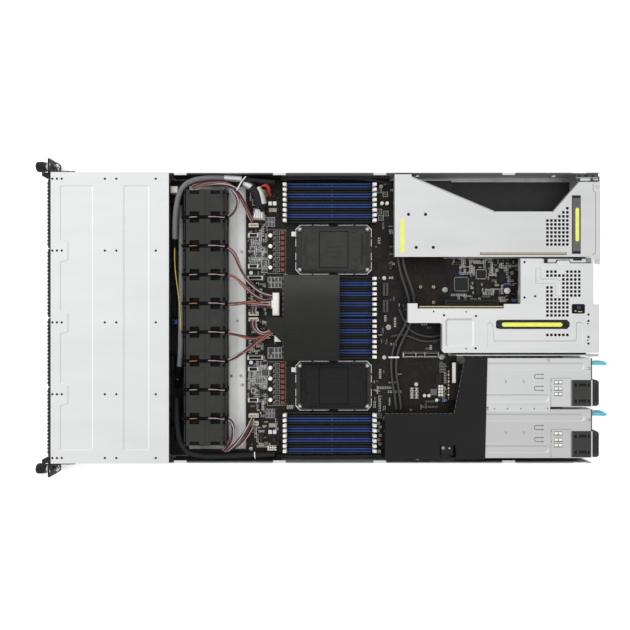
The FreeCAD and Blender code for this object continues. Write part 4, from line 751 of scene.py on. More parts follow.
curve("side_leads", [[(123.0, 14.0, 12.4), (130.0, -2.0, 12.4), (138.0, -18.0, 12.2), (152.0, -26.0, 12.2), (168.0, -30.0, 12.2), (184.0, -29.0, 12.2), (198.0, -24.0, 12.2)],
                     [(110.0, -30.0, 12.0), (120.0, -27.0, 12.0), (132.0, -26.6, 12.0), (146.0, -32.0, 12.0), (162.0, -37.6, 12.0), (180.0, -36.0, 12.0), (196.0, -33.0, 12.0)]], 2.2, CABLE_G, res=8)
order = ["maroon", "navy", "pink", "maroon", "orange", "maroon", "navy", "pale"]
by_col = {}
for i, pts in enumerate(LEADS):
    for j in range(8):
        one = strand(pts, j, 8, 2.2, i)
        if i in (1, 2, 3):
            one[-1] = (-74.2, pts[-1][1] + (j - 3.5) * 1.25, pts[-1][2] - 1.0 + 0.5 * (j % 3))
        by_col.setdefault(order[(i + j) % 8], []).append(one)
for j, c in enumerate(["maroon", "orange", "navy", "maroon", "pink", "navy", "orange", "maroon", "navy", "pale"]):
    by_col.setdefault(c, []).append(strand(ROUTES["bundle_top"][1], j, 10, 2.7, 31))
# Short pigtails from the two small headers in the middle into the plugs beside them.
for j, c in enumerate(["maroon", "navy", "pink", "navy", "maroon", "pale"]):
    t = (j - 2.5) * 1.7
    by_col.setdefault(c, []).append([(-103.5 + t, 7.4, 17.0), (-104.6 + t, 12.0, 20.0), (-102.0 + t, 17.4, 24.0), (-93.0, 19.6 + 0.8 * t, 25.6), (-83.0, 20.6 + t, 23.6), (-74.2, 20.0 + t, 20.4)])
    by_col.setdefault(c, []).append([(-103.5 + t, -4.6, 17.0), (-104.0 + t, -9.6, 20.6), (-101.4 + t, -16.4, 25.0), (-94.0 + 0.5 * t, -23.6 + 0.4 * t, 28.0), (-84.0, -25.6 + 0.7 * t, 28.0), (-73.6, -21.4 + 0.5 * t, 25.0)])
for c, lines in by_col.items():
    curve("fan_leads_" + c, lines, 0.66, W_COL[c])
curve("fan_leads_purple", [strand(ROUTES["bundle_top"][1], j, 3, 0.9, 37) for j in range(3)], 0.66, PURPLE)
# Blank foil wraps round the sleeves, ties, and short loose leads beside them.
curve("sleeve_wraps", [[(-146.0, 213.0, 33.3), (-133.0, 212.6, 32.7), (-120.0, 211.6, 32.2)]], 4.9, FOIL, res=8)
curve("drop_wraps", [[(-117.0, 205.4, 28.2), (-110.0, 202.8, 29.0), (-104.6, 199.4, 29.4)], [(-95.6, 199.4, 27.6), (-91.6, 191.6, 27.2), (-88.6, 182.6, 25.6), (-87.6, 176.0, 23.6)]], 5.6, FOIL, res=8)
curve("sleeve_boot", [[(-105.4, 199.6, 29.4), (-101.0, 195.6, 29.4), (-97.4, 187.6, 28.6), (-95.4, 179.0, 26.4), (-94.6, 172.0, 23.6)]], 6.6, SLEEVE_K, res=8)
wr = MB()
wr.prism([(-106.2, 151.6), (-85.6, 150.8), (-87.2, 169.4), (-102.4, 170.0)], 13.0, 22.6, FOIL, 2.6)
for k in range(5):
    x = -103.4 + 3.6 * k
    wr.prism([(x, 152.6), (x + 0.7, 152.6), (x + 1.2 - 0.14 * k, 168.6), (x + 0.6 - 0.14 * k, 168.6)], 22.5, 22.8, SHADE, 0.05)
wr.prism([(-104.6, 149.0), (-87.0, 148.4), (-87.0, 151.4), (-104.6, 152.0)], TOP, 20.4, BLACK_S, 0.6)
wr.build("drop_connector", "chassis", "cable_jacket")
curve("ties", [[(-113.0, 214.6, 36.9), (-117.0, 210.0, 38.6), (-120.4, 203.8, 40.4), (-124.6, 196.4, 40.6), (-127.0, 192.4, 39.0)],
               [(-100.2, -216.4, 26.0), (-99.6, -214.4, 29.8), (-100.2, -211.6, 30.5), (-100.6, -208.6, 29.6), (-100.8, -206.8, 25.4)]], 0.95, WHITE)
curve("loose_red", [[(-95.0 + d, 198.6, 31.0), (-88.0 + d, 202.6 + d, 31.0), (-81.0 + d, 200.0 + d, 28.0), (-79.6 + d, 192.6, 20.0), (-80.8 + d, 188.6, 9.3)] for d in (0.0, 1.3, 2.6)], 0.8, W_COL["red"])
curve("loose_yellow", [[(-95.6, 192.6, 32.4), (-88.8, 197.0, 31.0), (-84.6, 193.4, 24.0), (-84.0, 189.2, 9.3)],
                       [(-221.4, 106.0, 36.0), (-222.2, 86.0, 34.4), (-219.6, 60.0, 34.6), (-215.0, 32.0, 37.2), (-212.2, 6.0, 37.8), (-211.6, -18.0, 37.6)]], 0.7, W_COL["yellow"])
curve("gap_leads", [[(x0, 206.0, z), (x1, 120.0, z), (x0 - 1.0, 40.0, z), (x1, -40.0, z), (x0, -120.0, z), (x1, -206.0, z)] for x0, x1, z in ((-224.0, -221.6, 3.4), (-219.6, -217.4, 3.4), (-214.8, -213.0, 3.4), (-209.6, -210.4, 3.4), (-222.0, -218.6, 6.4), (-215.0, -211.6, 6.4))], 1.7, JACKET)

# ------------------------------------------------------------------ fans: grommets, ribs and the cage's lip
g = MB()
stubs = {"orange": [], "pink": [], "navy": []}
for i, y in enumerate(FAN_Y):
    # Raised band over the joint of the two halves, and a low lip at each end of a fan's top.
    g.box(-181.2, -167.6, y - 19.4, y + 19.4, 41.65, 42.05, FAN, 0.2)
    g.box(-174.7, -174.2, y - 19.3, y + 19.3, 42.0, 42.08, FAN_D, 0.02)
    for x in (-202.6, -149.2):
        g.box(x, x + 1.2, y - 18.8, y + 18.8, 41.6, 42.0, FAN, 0.15)
    # Rubber mounts that hang the fan in its cage.
    for x in (-206.9, -146.9):
        for s in (1, -1):
            g.prism([(x, y + s * 15.0 - 2.0), (x + 3.2, y + s * 15.0 - 2.6), (x + 3.2, y + s * 15.0 + 2.6), (x, y + s * 15.0 + 2.0)], 37.0, 43.2, RUBBER, 0.5)
    if i < 8:
        # Rubber bar between neighbours, and the saddle that holds it on the cage.
        yg = y - 21.74
        g.box(-203.0, -146.4, yg - 1.6, yg + 1.6, 14.0, 41.9, RUBBER, 0.3)
        g.box(-204.2, -146.4, yg - 2.7, yg + 2.7, 41.7, 42.7, RUBBER, 0.5)
        g.prism([(-147.4, yg - 2.4), (-143.6, yg - 4.2), (-139.8, yg - 2.6), (-139.8, yg + 2.6), (-143.6, yg + 4.2), (-147.4, yg + 2.4)], 30.0, 43.3, RUBBER, 0.6)
        g.prism([(-209.6, yg - 2.0), (-203.6, yg - 3.4), (-203.6, yg + 3.4), (-209.6, yg + 2.0)], 36.0, 43.2, RUBBER, 0.6)
        stubs["orange" if i % 2 else "pink"].append([(-197.4, yg - 0.3, 42.4), (-195.0, yg - 0.2, 43.1), (-190.6, yg + 0.2, 43.2), (-186.4, yg + 0.2, 42.4)])
        stubs["navy"].append([(-170.4, yg - 0.6, 42.4), (-166.0, yg - 0.6, 43.0), (-158.0, yg - 0.4, 43.2), (-149.0, yg + 0.4, 43.1), (-143.6, yg + 1.2, 43.4)])
        stubs["pink"].append([(-169.0, yg + 0.7, 42.4), (-165.0, yg + 0.7, 43.1), (-157.0, yg + 0.5, 43.2), (-150.0, yg - 0.5, 43.2), (-144.4, yg - 1.0, 43.4)])
# Black rail behind the fans, with a foot on the floor.
g.box(-144.7, -141.6, -194.0, 194.0, 38.6, 42.0, BLACK, 0.4)
for y in FAN_Y:
    g.box(-144.7, -143.4, y + 19.6, y + 23.4, 1.3, 39.0, BLACK, 0.2)
g.build("fan_mounts", "chassis", "fan_plastic")
for c, lines in stubs.items():
    curve("fan_stubs_" + c, lines, 0.55, W_COL[c])

# ------------------------------------------------------------------ chassis edges and floor
c = MB()
for s in (1, -1):
    for x in (-212.0, -62.0, 90.0, 285.0):
        # Folded hooks that take the rear cover.
        c.box(x - 9.6, x + 9.6, s * 217.2 - 1.3, s * 217.2 + 1.3, 40.0, 40.9, STEEL_B, 0.2)
        c.box(x - 9.6, x - 7.6, s * 217.2 - 1.3, s * 217.2 + 1.3, 38.0, 40.2, STEEL_B, 0.2)
        c.box(x + 7.6, x + 9.6, s * 217.2 - 1.3, s * 217.2 + 1.3, 38.0, 40.2, STEEL_B, 0.2)
    # Black cable channel at the foot of each wall beside the memory banks.
    y0, y1 = sorted((s * 214.6, s * 218.5))
    c.box(-60.0, 108.0, y0, y1, 1.2, 23.5, BLACK, 0.3)
# Floor strip between the fans and the board: a plain liner with one fold line and a few screws.
c.box(-143.2, -117.4, -206.6, 206.6, 1.2, 1.9, STRIP, 0.2)
c.box(-131.3, -130.9, -206.6, 206.6, 1.88, 1.93, GALV, 0.01)
for x, y in ((-123.2, 103.8), (-130.3, -5.0), (-139.6, -91.8), (-124.7, -91.8), (-122.4, -106.0), (-124.0, 190.0), (-124.0, -190.0)):
    c.screw(x, y, 1.9, 2.3, 1.2)
# Black sheets on the floor of the cable gap in front of the fans and along the walls beside them. Under the open side
# of riser cage 1 the black sheets are painted shade for the dark space there.
c.box(-235.8, -206.4, -216.5, 216.5, 1.2, 1.7, BLACK, 0.1)
for s in (1, -1):
    y0, y1 = sorted((s * 207.4, s * 218.5))
    c.box(-206.4, -60.2, y0, y1, 1.2, 1.7, BLACK, 0.1)
    y0, y1 = sorted((s * 217.7, s * 218.5))
    c.box(-226.0, -60.2, y0, y1, 1.7, 34.0, BLACK, 0.1)
c.box(128.0, 206.0, 108.0, 211.6, 11.6, 12.0, BLACK, 0.1)
for x, y in ((131.0, 111.0), (131.0, 208.6), (202.4, 111.0), (202.4, 208.6)):
    c.turn(x, y, [(0, 1.8), (2.5, 1.8)], BLACK, 14, z=TOP)
for y in (-104.75, 0.0, 104.75):
    c.box(-409.4, -400.0, y - 0.5, y + 0.5, 1.2, 42.0, BLACK, 0.1)
c.box(206.5, 393.5, 104.6, 213.7, 1.2, 1.7, BLACK, 0.1)
# Black strip on the floor and dark grey strip on the wall between the second supply and the wall: painted shade for the
# gap.
c.box(205.0, 405.0, -218.4, -213.4, 1.2, 1.7, BLACK, 0.1)
c.box(205.0, 405.0, -218.5, -218.0, 1.7, 35.6, GREY_D, 0.1)
# Plugs on the drive backplane.
c.box(-229.4, -218.4, 191.0, 201.4, 9.0, 30.0, CREAM, 0.5)
c.box(-228.4, -219.4, 192.2, 200.2, 29.9, 30.3, WHITE, 0.2)
c.box(-236.0, -226.0, -13.0, 0.0, 8.0, 18.0, BLACK_S, 0.4)
c.box(-226.2, -221.6, -10.0, -3.0, 9.0, 17.0, BLUE_CAP, 0.4)
# Bracket in the rear corner beside riser cage 1, with holes and a bright stop.
c.box(386.0, 420.4, 206.8, 218.5, 39.6, 41.0, GREY_D, 0.2)
c.box(387.0, 419.6, 211.6, 212.6, 41.0, 41.3, SCREW, 0.1)
c.box(412.0, 419.6, 207.4, 210.4, 41.0, 42.4, SCREW, 0.2)
for x, y in ((391.6, 213.4), (401.6, 214.0), (411.6, 213.2)):
    c.turn(x, y, [(0, 2.3), (0.06, 2.2)], FAN_D, 18, z=41.0)
c.box(393.0, 408.0, 207.2, 210.8, 41.0, 41.5, STEEL_B, 0.15)
# Metal clip on the bay wall beside the supplies.
c.box(401.5, 420.4, -58.6, -54.6, 41.6, 42.2, SCREW, 0.15)
c.box(405.0, 412.0, -58.0, -55.2, 42.15, 42.8, SCREW, 0.2)
# Dots along the flange between the supplies.
for x in (262.8, 282.7, 303.0, 323.2, 343.1):
    c.turn(x, -137.1, [(0, 1.3), (0.06, 1.2)], SHADE, 14, z=42.34)
c.build("floor_strip", "chassis", "galvanised_steel")

# Sunk panels of the front cover: the sloping wall round each.
lid = MB()
steps = []
for lo, hi in ((84.7, 117.8), (-23.5, 9.6), (-131.9, -98.7)):
    steps += [(-392.6, hi), (-381.2, hi - 3), (-381.2, lo + 3), (-392.6, lo)]
lid.rim([(-392.6, -199.8), (-344.8, -199.8), (-342.8, -197.8), (-342.8, 197.8), (-344.8, 199.8), (-390.6, 199.8), (-392.6, 197.8)] + steps, 43.4, 43.99, 1.5, STEEL)
lid.rim(cham(-296.9, -199.8, -257.8, 199.8, 2.0), 43.4, 43.99, 1.5, STEEL)
# Along the rear side of each panel a pale strip on the sloping wall: a painted highlight.
for x in (-344.2, -259.2):
    lid.box(x, x + 1.3, -197.4, 197.4, 43.4, 43.98, STEEL_HIGHLIGHT, 0.1)
lid.build("front_cover_panel_walls", "chassis", "galvanised_steel")

# ------------------------------------------------------------------ small parts on the main board
KEEP = [(-60, 90, 144, 212), (-60, 90, -212, -144), (-60, 90, -64, 64), (-40, 82, 66, 146), (-40, 82, -146, -66),
        (-63, -54, 70, 137), (-63, -54, -137, -70), (-81, -74, 72, 133), (-81, -74, -133, -72), (-71, -63, 71, 136), (-71, -63, -136, -71),
        (-74, -60, 2, 40), (-69, -60, -29, -8), (-113, -95, 140, 147), (-113, -95, 2, 9), (-113, -95, -7, 1), (-113, -95, -168, -149), (-113, -89, 58, 66), (-113, -89, -66, -58),
        (199, 216, -212, -60), (236, 336, 92, 102), (174, 274, 12, 22), (208, 234, 40, 66), (243, 261, 60, 76), (241, 251, 33, 55), (278, 290, 54, 70), (128, 186, -63, -53),
        (179, 191, -105, -85), (86, 108, 152, 204), (86, 98, -202, -148), (170, 184, -132, -108), (156, 173, -126, -116), (96, 108, 6, 56), (388, 411, -50, 84)]
HOLES = [(-108, 205), (-108, 70), (-108, -70), (-108, -205), (95, 205), (100, 62), (100, -62), (92, -209.3), (196, 95), (300, 70), (300, -46), (150, -104)]


def on_board(x, y):
    if -114 < x < 212 and -210 < y < 212 and not (x > 198 and -62 < y < -53) and not (x > 203 and y > 104):
        return True
    return 200 < x < 404 and -52 < y < 104


def free(x, y, lx, ly):
    for a in (-1, 1):
        for b in (-1, 1):
            if not on_board(x + a * lx / 2, y + b * ly / 2):
                return False
    for x0, x1, y0, y1 in KEEP:
        if x + lx / 2 > x0 and x - lx / 2 < x1 and y + ly / 2 > y0 and y - ly / 2 < y1:
            return False
    return all(math.hypot(x - a, y - b) > 5 + max(lx, ly) / 2 for a, b in HOLES)


def plain(x, y):
    """The two bare areas of the board, behind the sockets and before the supplies."""
    return (116 < x < 203 and 18 < y < 94) or (122 < x < 181 and -140 < y < -62)


rnd = random.Random(41)
smd = MB()


def passive(x, y, along, kind):
    """A two-ended chip part with solder ends."""
    l, w, h, m = kind
    lx, ly = (l, w) if along else (w, l)
    smd.blk(x, y, lx * (0.62 if along else 1), ly * (1 if along else 0.62), TOP, h, m, 0.06)
    e = l * 0.2
    for s in (1, -1):
        if along:
            smd.blk(x + s * (l - e) / 2, y, e, w * 1.02, TOP, h * 1.02, SILVER, 0.05)
        else:
            smd.blk(x, y + s * (l - e) / 2, w * 1.02, e, TOP, h * 1.02, SILVER, 0.05)


def gull(x, y, lx, ly, h=1.5, pitch=1.3):
    """A chip in a flat package with leads along two sides."""
    smd.blk(x, y, lx, ly, TOP + 0.15, h, CHIP, 0.15)
    k = max(int(ly / pitch), 2)
    for i in range(k):
        yy = y - ly / 2 + ly * (i + 0.5) / k
        for s in (1, -1):
            smd.box(x + s * lx / 2 - (0.0 if s > 0 else 1.1), x + s * lx / 2 + (1.1 if s > 0 else 0.0), yy - 0.24, yy + 0.24, TOP, TOP + 0.55, SILVER, 0.04)


KINDS = [(2.0, 1.2, 0.9, CERAMIC), (1.6, 0.8, 0.7, CERAMIC), (2.0, 1.2, 0.6, CHIP), (1.6, 0.8, 0.5, CHIP), (3.2, 1.7, 1.3, CERAMIC), (3.2, 2.4, 1.6, GREY)]
placed = 0
while placed < 190:
    x, y = rnd.uniform(-113, 404), rnd.uniform(-210, 210)
    if not on_board(x, y) or plain(x, y):
        continue
    if x > 100 and rnd.random() < 0.15:
        continue
    kind = KINDS[rnd.randrange(len(KINDS))]
    along = rnd.random() < 0.5
    cnt = rnd.randrange(2, 9)
    step = kind[1] * 1.55
    for i in range(cnt):
        px, py = (x, y + i * step) if along else (x + i * step, y)
        if free(px, py, kind[0] + 0.6, kind[0] + 0.6):
            passive(px, py, along, kind)
    placed += 1
for zone, tries in (((205, 300, 25, 92), 110), ((266, 330, 24, 90), 40), ((181, 200, -138, -66), 16), ((-113, -84, -205, 205), 150), ((84, 110, -205, 205), 40), ((-113, -84, 70, 135), 40), ((-113, -84, -135, -70), 40)):
    for i in range(tries):
        x, y = rnd.uniform(zone[0], zone[1]), rnd.uniform(zone[2], zone[3])
        kind = KINDS[rnd.randrange(len(KINDS))]
        along = rnd.random() < 0.5
        for j in range(rnd.randrange(3, 8)):
            px, py = (x, y + j * kind[1] * 1.5) if along else (x + j * kind[1] * 1.5, y)
            if free(px, py, kind[0] + 0.4, kind[0] + 0.4):
                passive(px, py, along, kind)
for i in range(64):
    x, y = rnd.uniform(-112, 402), rnd.uniform(-208, 208)
    lx, ly = rnd.choice(((4, 5), (3, 3), (6, 5), (5, 8), (7, 7), (4, 10)))
    if free(x, y, lx + 3, ly + 1) and not plain(x, y):
        gull(x, y, lx, ly, rnd.choice((1.1, 1.5)))
# Small through-hole pin rows and jumpers.
for x, y, nx, ny in ((-110, 120, 1, 6), (-110, -120, 1, 6), (-92, 150, 2, 5), (-92, -190, 2, 4), (-96, 30, 1, 4), (110, 80, 2, 4), (215, 84, 4, 2), (320, 50, 2, 5), (350, -30, 5, 2), (180, -150, 2, 4)):
    smd.blk(x, y, 2.5 * nx + 0.4, 2.5 * ny + 0.4, TOP, 2.5, CHIP, 0.15)
    for i in range(nx):
        for j in range(ny):
            px, py = x + (i - (nx - 1) / 2) * 2.5, y + (j - (ny - 1) / 2) * 2.5
            smd.box(px - 0.3, px + 0.3, py - 0.3, py + 0.3, TOP + 2.4, TOP + 8.0, GOLD, 0.08)
smd.build("board_small_parts", "chassis", "component_dark")

# Parts that stand out in the picture: chokes, drivers, cans, headers and sockets.
bd = MB()
for s in (1, -1):
    for i in range(8):
        y = s * (74.5 + 8.3 * i)
        bd.box(-61.1, -55.9, y - 2.6, y + 2.6, TOP + 5.3, TOP + 5.9, COPPER, 0.35)
        bd.box(-59.2, -57.8, y - 2.95, y + 2.95, TOP + 0.2, TOP + 5.55, COPPER, 0.2)
        bd.frame(-70.6, -63.4, y - 3.1, y + 3.1, TOP, TOP + 0.5, 0.45, SILVER)
        bd.blk(-67.0, y, 3.6, 3.2, TOP + 2.15, 0.1, GREY_D, 0.03)
        bd.blk(-72.2, y + 0.6, 1.3, 3.0, TOP, 1.2, CERAMIC, 0.1)
        bd.blk(-73.4, y - 2.2, 1.0, 2.0, TOP, 0.8, CERAMIC, 0.1)
    for i in range(4):
        y = s * (78.0 + 16.6 * i)
        bd.turn(-77.5, y, [(0, 2.5), (0.2, 2.3)], WHITE, 20, z=TOP + 8.0)
        bd.blk(-77.5, y, 6.8, 6.8, TOP, 1.2, CHIP, 0.3)
    # Side-entry signal connectors at the board's front edge.
    for x, y, lx, ly in ((-101.0, s * 62.0, 24.0, 5.6), (-104.0, s * 80.0, 16.0, 6.0), (-104.0, s * 128.0, 16.0, 6.0)):
        bd.blk(x, y, lx, ly, TOP, 6.2, BLACK_S, 0.4)
        bd.blk(x, y, lx - 3, 1.6, TOP + 6.1, 0.25, FAN_D, 0.05)
        bd.blk(x - lx / 2 + 1.4, y, 1.6, ly + 1.0, TOP, 7.0, SILVER, 0.2)
        bd.blk(x + lx / 2 - 1.4, y, 1.6, ly + 1.0, TOP, 7.0, SILVER, 0.2)
        bd.frame(x - lx / 2, x + lx / 2, y - ly / 2, y + ly / 2, TOP + 6.1, TOP + 6.4, 0.55, SILVER)
        bd.frame(x - lx / 2 - 1.2, x + lx / 2 + 1.2, y - ly / 2 - 1.2, y + ly / 2 + 1.2, TOP, TOP + 0.06, 0.3, MASK)
    # Processor power modules beside the outer memory banks.
    bd.blk(-92.0, s * 184.0, 9.0, 9.0, TOP, 4.0, CHIP, 0.4)
    bd.blk(-84.0, s * 197.0, 7.0, 7.0, TOP, 4.2, GREY, 0.5)
    for k in range(5):
        bd.blk(-66.0, s * (160.0 + 9.0 * k), 4.6, 4.6, TOP, 2.4, CHIP, 0.3)
        bd.blk(-96.0 + 4.6 * (k % 2), s * (172.0 + 6.0 * k), 3.2, 2.0, TOP, 1.4, CERAMIC, 0.2)
    # Fields of power chips between the sockets and the middle banks, and beside the outer banks.
    for i in range(4):
        for j in range(2):
            x, y = -79.4 + 5.5 * i, s * (50.8 + 8.8 * j)
            bd.blk(x, y, 4.0, 6.8, TOP, 1.5, GREY_D, 0.15)
            bd.frame(x - 2.5, x + 2.5, y - 4.0, y + 4.0, TOP, TOP + 0.35, 0.4, SILVER)
    for i in range(3):
        for j in range(2):
            x, y = -83.0 + 5.0 * i, s * (146.0 + 7.6 * j)
            bd.blk(x, y, 3.6, 5.6, TOP, 1.5, GREY_D, 0.15)
            bd.frame(x - 2.2, x + 2.2, y - 3.3, y + 3.3, TOP, TOP + 0.35, 0.4, SILVER)
    # Chips whose bright traces fan out, in the busy strip before the choke rows.
    for x, y, q, l in ((-96.0, s * 98.0, 5.4, 4.6), (-86.0, s * 86.0, 5.8, 2.6), (-90.0, s * 106.4, 2.6, 3.4), (-104.6, s * 114.0, 3.2, 3.0)):
        for k in range(20):
            t = 2 * math.pi * (k + 0.5) / 20
            e = q / max(abs(math.cos(t)), abs(math.sin(t)))
            bd.line([(x + e * math.cos(t), y + e * math.sin(t)), (x + (e + l) * math.cos(t), y + (e + l) * math.sin(t))], 0.42, TOP, TOP + 0.1, MASK)
        bd.frame(x - q, x + q, y - q, y + q, TOP, TOP + 0.4, 0.55, SILVER)
        bd.blk(x, y, 2 * q - 1.6, 2 * q - 1.6, TOP, 1.5, GREY_D, 0.2)
    for k in range(3):
        bd.line([(-112.4, s * (84.0 + 4.0 * k)), (-104.0, s * (84.0 + 4.0 * k)), (-99.0, s * (88.0 + 4.0 * k))], 0.4, TOP, TOP + 0.08, MASK)
        bd.blk(-92.0 + 4.6 * k, s * 122.6, 3.4, 2.4, TOP, 1.2, GREY, 0.15)
    # Outlines on the mask round the choke rows.
    bd.frame(-82.6, -53.6, min(s * 69.0, s * 137.6), max(s * 69.0, s * 137.6), TOP, TOP + 0.05, 0.35, MASK)
# Plugs in the two large power headers, and the cells of the small cream headers.
bd.box(-72.6, -64.2, 5.0, 37.4, 24.9, 25.6, WHITE, 0.4)
for j in range(5):
    bd.box(-72.4, -64.4, 10.2 + 5.4 * j, 10.6 + 5.4 * j, 25.55, 25.66, CREAM, 0.02)
bd.box(-75.0, -73.2, 15.0, 27.0, 16.0, 24.0, WHITE, 0.4)
bd.box(-70.6, -60.4, -37.0, -22.0, TOP, 23.4, WHITE, 0.5)
bd.box(-69.6, -61.4, -36.0, -23.0, 23.35, 23.7, WHITE, 0.2)
for x, y in ((-103.5, 143.5), (-103.5, 6.0), (-103.5, -3.2), (-103.5, -152.5), (-103.5, -164.5)):
    for k in range(6):
        px = x - 5.6 + 2.25 * k
        bd.box(px - 0.7, px + 0.7, y - 1.5, y + 1.5, 16.1, 16.35, FAN_D, 0.05)
    bd.box(x - 7.0, x + 7.0, y + 2.4, y + 3.4, TOP, 17.4, CREAM, 0.3)
for i in range(2):
    for j in range(4):
        bd.box(-79.6 + 3.3 * j, -77.6 + 3.3 * j, -204.6 + 3.2 * i, -202.8 + 3.2 * i, 15.1, 15.35, FAN_D, 0.05)
# Management chip, bridge, clock, cell holder and memory devices at the rear.
for x, y, l, w, h in ((221.0, 52.5, 20, 20, 1.8), (252.0, 68.0, 14, 13, 1.6)):
    bd.blk(x, y, l - 1.4, w - 1.4, TOP + h, 0.12, CHIP, 0.05)
    for k in range(14):
        t = -l / 2 + l * (k + 0.5) / 14
        for s in (1, -1):
            bd.box(x + t - 0.25, x + t + 0.25, y + s * w / 2 - (0 if s > 0 else 1.3), y + s * w / 2 + (1.3 if s > 0 else 0), TOP, TOP + 0.6, SILVER, 0.05)
            bd.box(x + s * l / 2 - (0 if s > 0 else 1.3), x + s * l / 2 + (1.3 if s > 0 else 0), y + t - 0.25, y + t + 0.25, TOP, TOP + 0.6, SILVER, 0.05)
bd.turn(292.0, 41.9, [(0, 6.4), (2.0, 6.4), (2.4, 6.0)], BLACK_S, 32, z=TOP)
bd.turn(292.0, 41.9, [(0, 5.0), (1.0, 5.0), (1.3, 4.5)], SILVER, 32, z=TOP + 2.2)
bd.box(286.0, 298.0, 46.6, 50.6, TOP, TOP + 4.0, CHIP, 0.3)
bd.box(287.6, 293.6, 51.6, 54.0, TOP, TOP + 3.0, BLUE_CAP, 0.3)
bd.box(300.0, 306.0, 24.4, 27.4, TOP, TOP + 3.0, BLUE_CAP, 0.3)
bd.blk(218.4, 70.0, 4.0, 3.4, TOP, 1.6, BLUE_CAP, 0.2)
for x, y in ((92.0, 199.0), (102.0, 193.0), (92.4, 166.0), (103.0, 163.0), (95.0, 156.0), (92.0, -153.0)):
    bd.blk(x, y, 6.4, 6.4, TOP, 3.4, GREY_D, 0.8)
    bd.frame(x - 3.9, x + 3.9, y - 3.9, y + 3.9, TOP, TOP + 0.3, 0.4, SILVER)
for x, y in ((91.0, -165.0), (94.0, -171.0), (90.6, -177.0), (94.4, -184.0), (91.6, -191.0), (93.6, -197.4)):
    bd.blk(x, y, 3.4, 2.6, TOP, 1.6, CERAMIC, 0.2)
    bd.frame(x - 2.3, x + 2.3, y - 1.9, y + 1.9, TOP, TOP + 0.25, 0.35, SILVER)
# Slot connector and power parts in front of the supplies.
bd.box(132.4, 181.6, -59.1, -56.9, TOP + 4.95, TOP + 5.1, FAN_D, 0.02)
for x in (129.6, 149.0, 163.0, 184.4):
    bd.box(x - 0.5, x + 0.5, -61.6, -54.4, TOP, TOP + 5.2, MASK, 0.05)
for x0, x1 in ((133.0, 146.0), (152.0, 160.0), (166.0, 181.0)):
    bd.box(x0, x1, -60.6, -60.0, TOP + 4.95, TOP + 5.12, MASK, 0.02)
for k in range(6):
    x, y = 189.4 + 5.0 * (k % 2), -74.0 - 4.8 * (k // 2)
    bd.blk(x, y, 3.8, 3.6, TOP, 2.6, CHIP, 0.3)
    bd.blk(x, y, 2.4, 2.2, TOP + 2.5, 0.2, GREY, 0.06)
    bd.frame(x - 2.3, x + 2.3, y - 2.2, y + 2.2, TOP, TOP + 0.3, 0.35, SILVER)
for k in range(5):
    bd.blk(160.0 + 5.4 * k, -139.4, 4.2, 3.0, TOP, 2.0, GREY, 0.2)
    bd.blk(166.0 + 3.6 * k, -131.0, 2.4, 3.0, TOP, 1.6, GREY, 0.15)
# Light strip along the top of the first supply socket, and a column of cream parts before it.
bd.box(204.2, 209.6, -100.6, -69.4, 20.5, 21.3, WHITE, 0.3)
for k in range(9):
    bd.blk(200.6, -84.0 - 5.2 * k, 1.8, 3.2, TOP, 2.6, CREAM if k % 2 else GOLD, 0.15)
for k in range(4):
    for i in range(2):
        bd.blk(186.2 + 4.2 * i, -107.2 - 4.5 * k, 3.3, 3.7, TOP, 2.6, CREAM, 0.25)
bd.blk(196.6, -129.0, 3.6, 3.6, TOP, 3.0, BLUE_CAP, 0.4)
# Bare H-shaped pads.
for i in range(2):
    for k in range(4):
        x, y = 143.6 + 7.4 * i, -106.0 - 6.0 * k
        if math.hypot(x - 150, y + 104) < 7.6:
            continue
        bd.blk(x, y + 1.7, 5.6, 1.1, TOP, 0.14, SILVER, 0.03)
        bd.blk(x, y - 1.7, 5.6, 1.1, TOP, 0.14, SILVER, 0.03)
        bd.blk(x, y, 1.2, 2.4, TOP, 0.14, SILVER, 0.03)
bd.frame(128.4, 185.6, -62.4, -53.6, TOP, TOP + 0.06, 0.35, MASK)
bd.frame(130.2, 183.8, -60.9, -55.1, TOP + 4.9, TOP + 5.12, 0.35, MASK)
# Copper-ringed holes.
for x, y in ((157.2, 48.2), (177.5, 48.2), (177.5, 24.1)):
    bd.turn(x, y, [(0, 2.3), (0.1, 2.2)], TAN, 20, z=TOP)
    bd.turn(x, y, [(0, 1.2), (0.04, 1.15)], FAN_D, 16, z=TOP + 0.1)
# Strap round the riser leads.
bd.box(106.6, 122.6, -62.6, -60.2, 17.5, 18.4, WHITE, 0.25)
bd.box(106.6, 107.6, -62.6, -60.2, TOP, 18.0, WHITE, 0.2)
bd.box(121.6, 122.6, -62.6, -60.2, TOP, 18.0, WHITE, 0.2)
for x, y in ((107.0, -15.0), (190.2, -61.6), (195.3, 43.5)):
    bd.turn(x, y, [(0, 4.2), (1.2, 4.2), (1.6, 3.6)], SCREW, 24, z=TOP)
    bd.screw(x, y, TOP + 1.5, 2.8, 1.6)
for x, y in ((102.0, 44.0), (102.0, 18.0)):
    bd.box(x - 4.4, x + 4.4, y - 9.8, y + 9.8, TOP + 2.0, TOP + 5.0, GREY_D, 0.4)
    bd.box(x - 1.0, x + 1.0, y - 8.4, y + 8.4, TOP + 4.9, TOP + 5.1, FAN_D, 0.05)
bd.build("board_parts", "chassis", "component_dark")

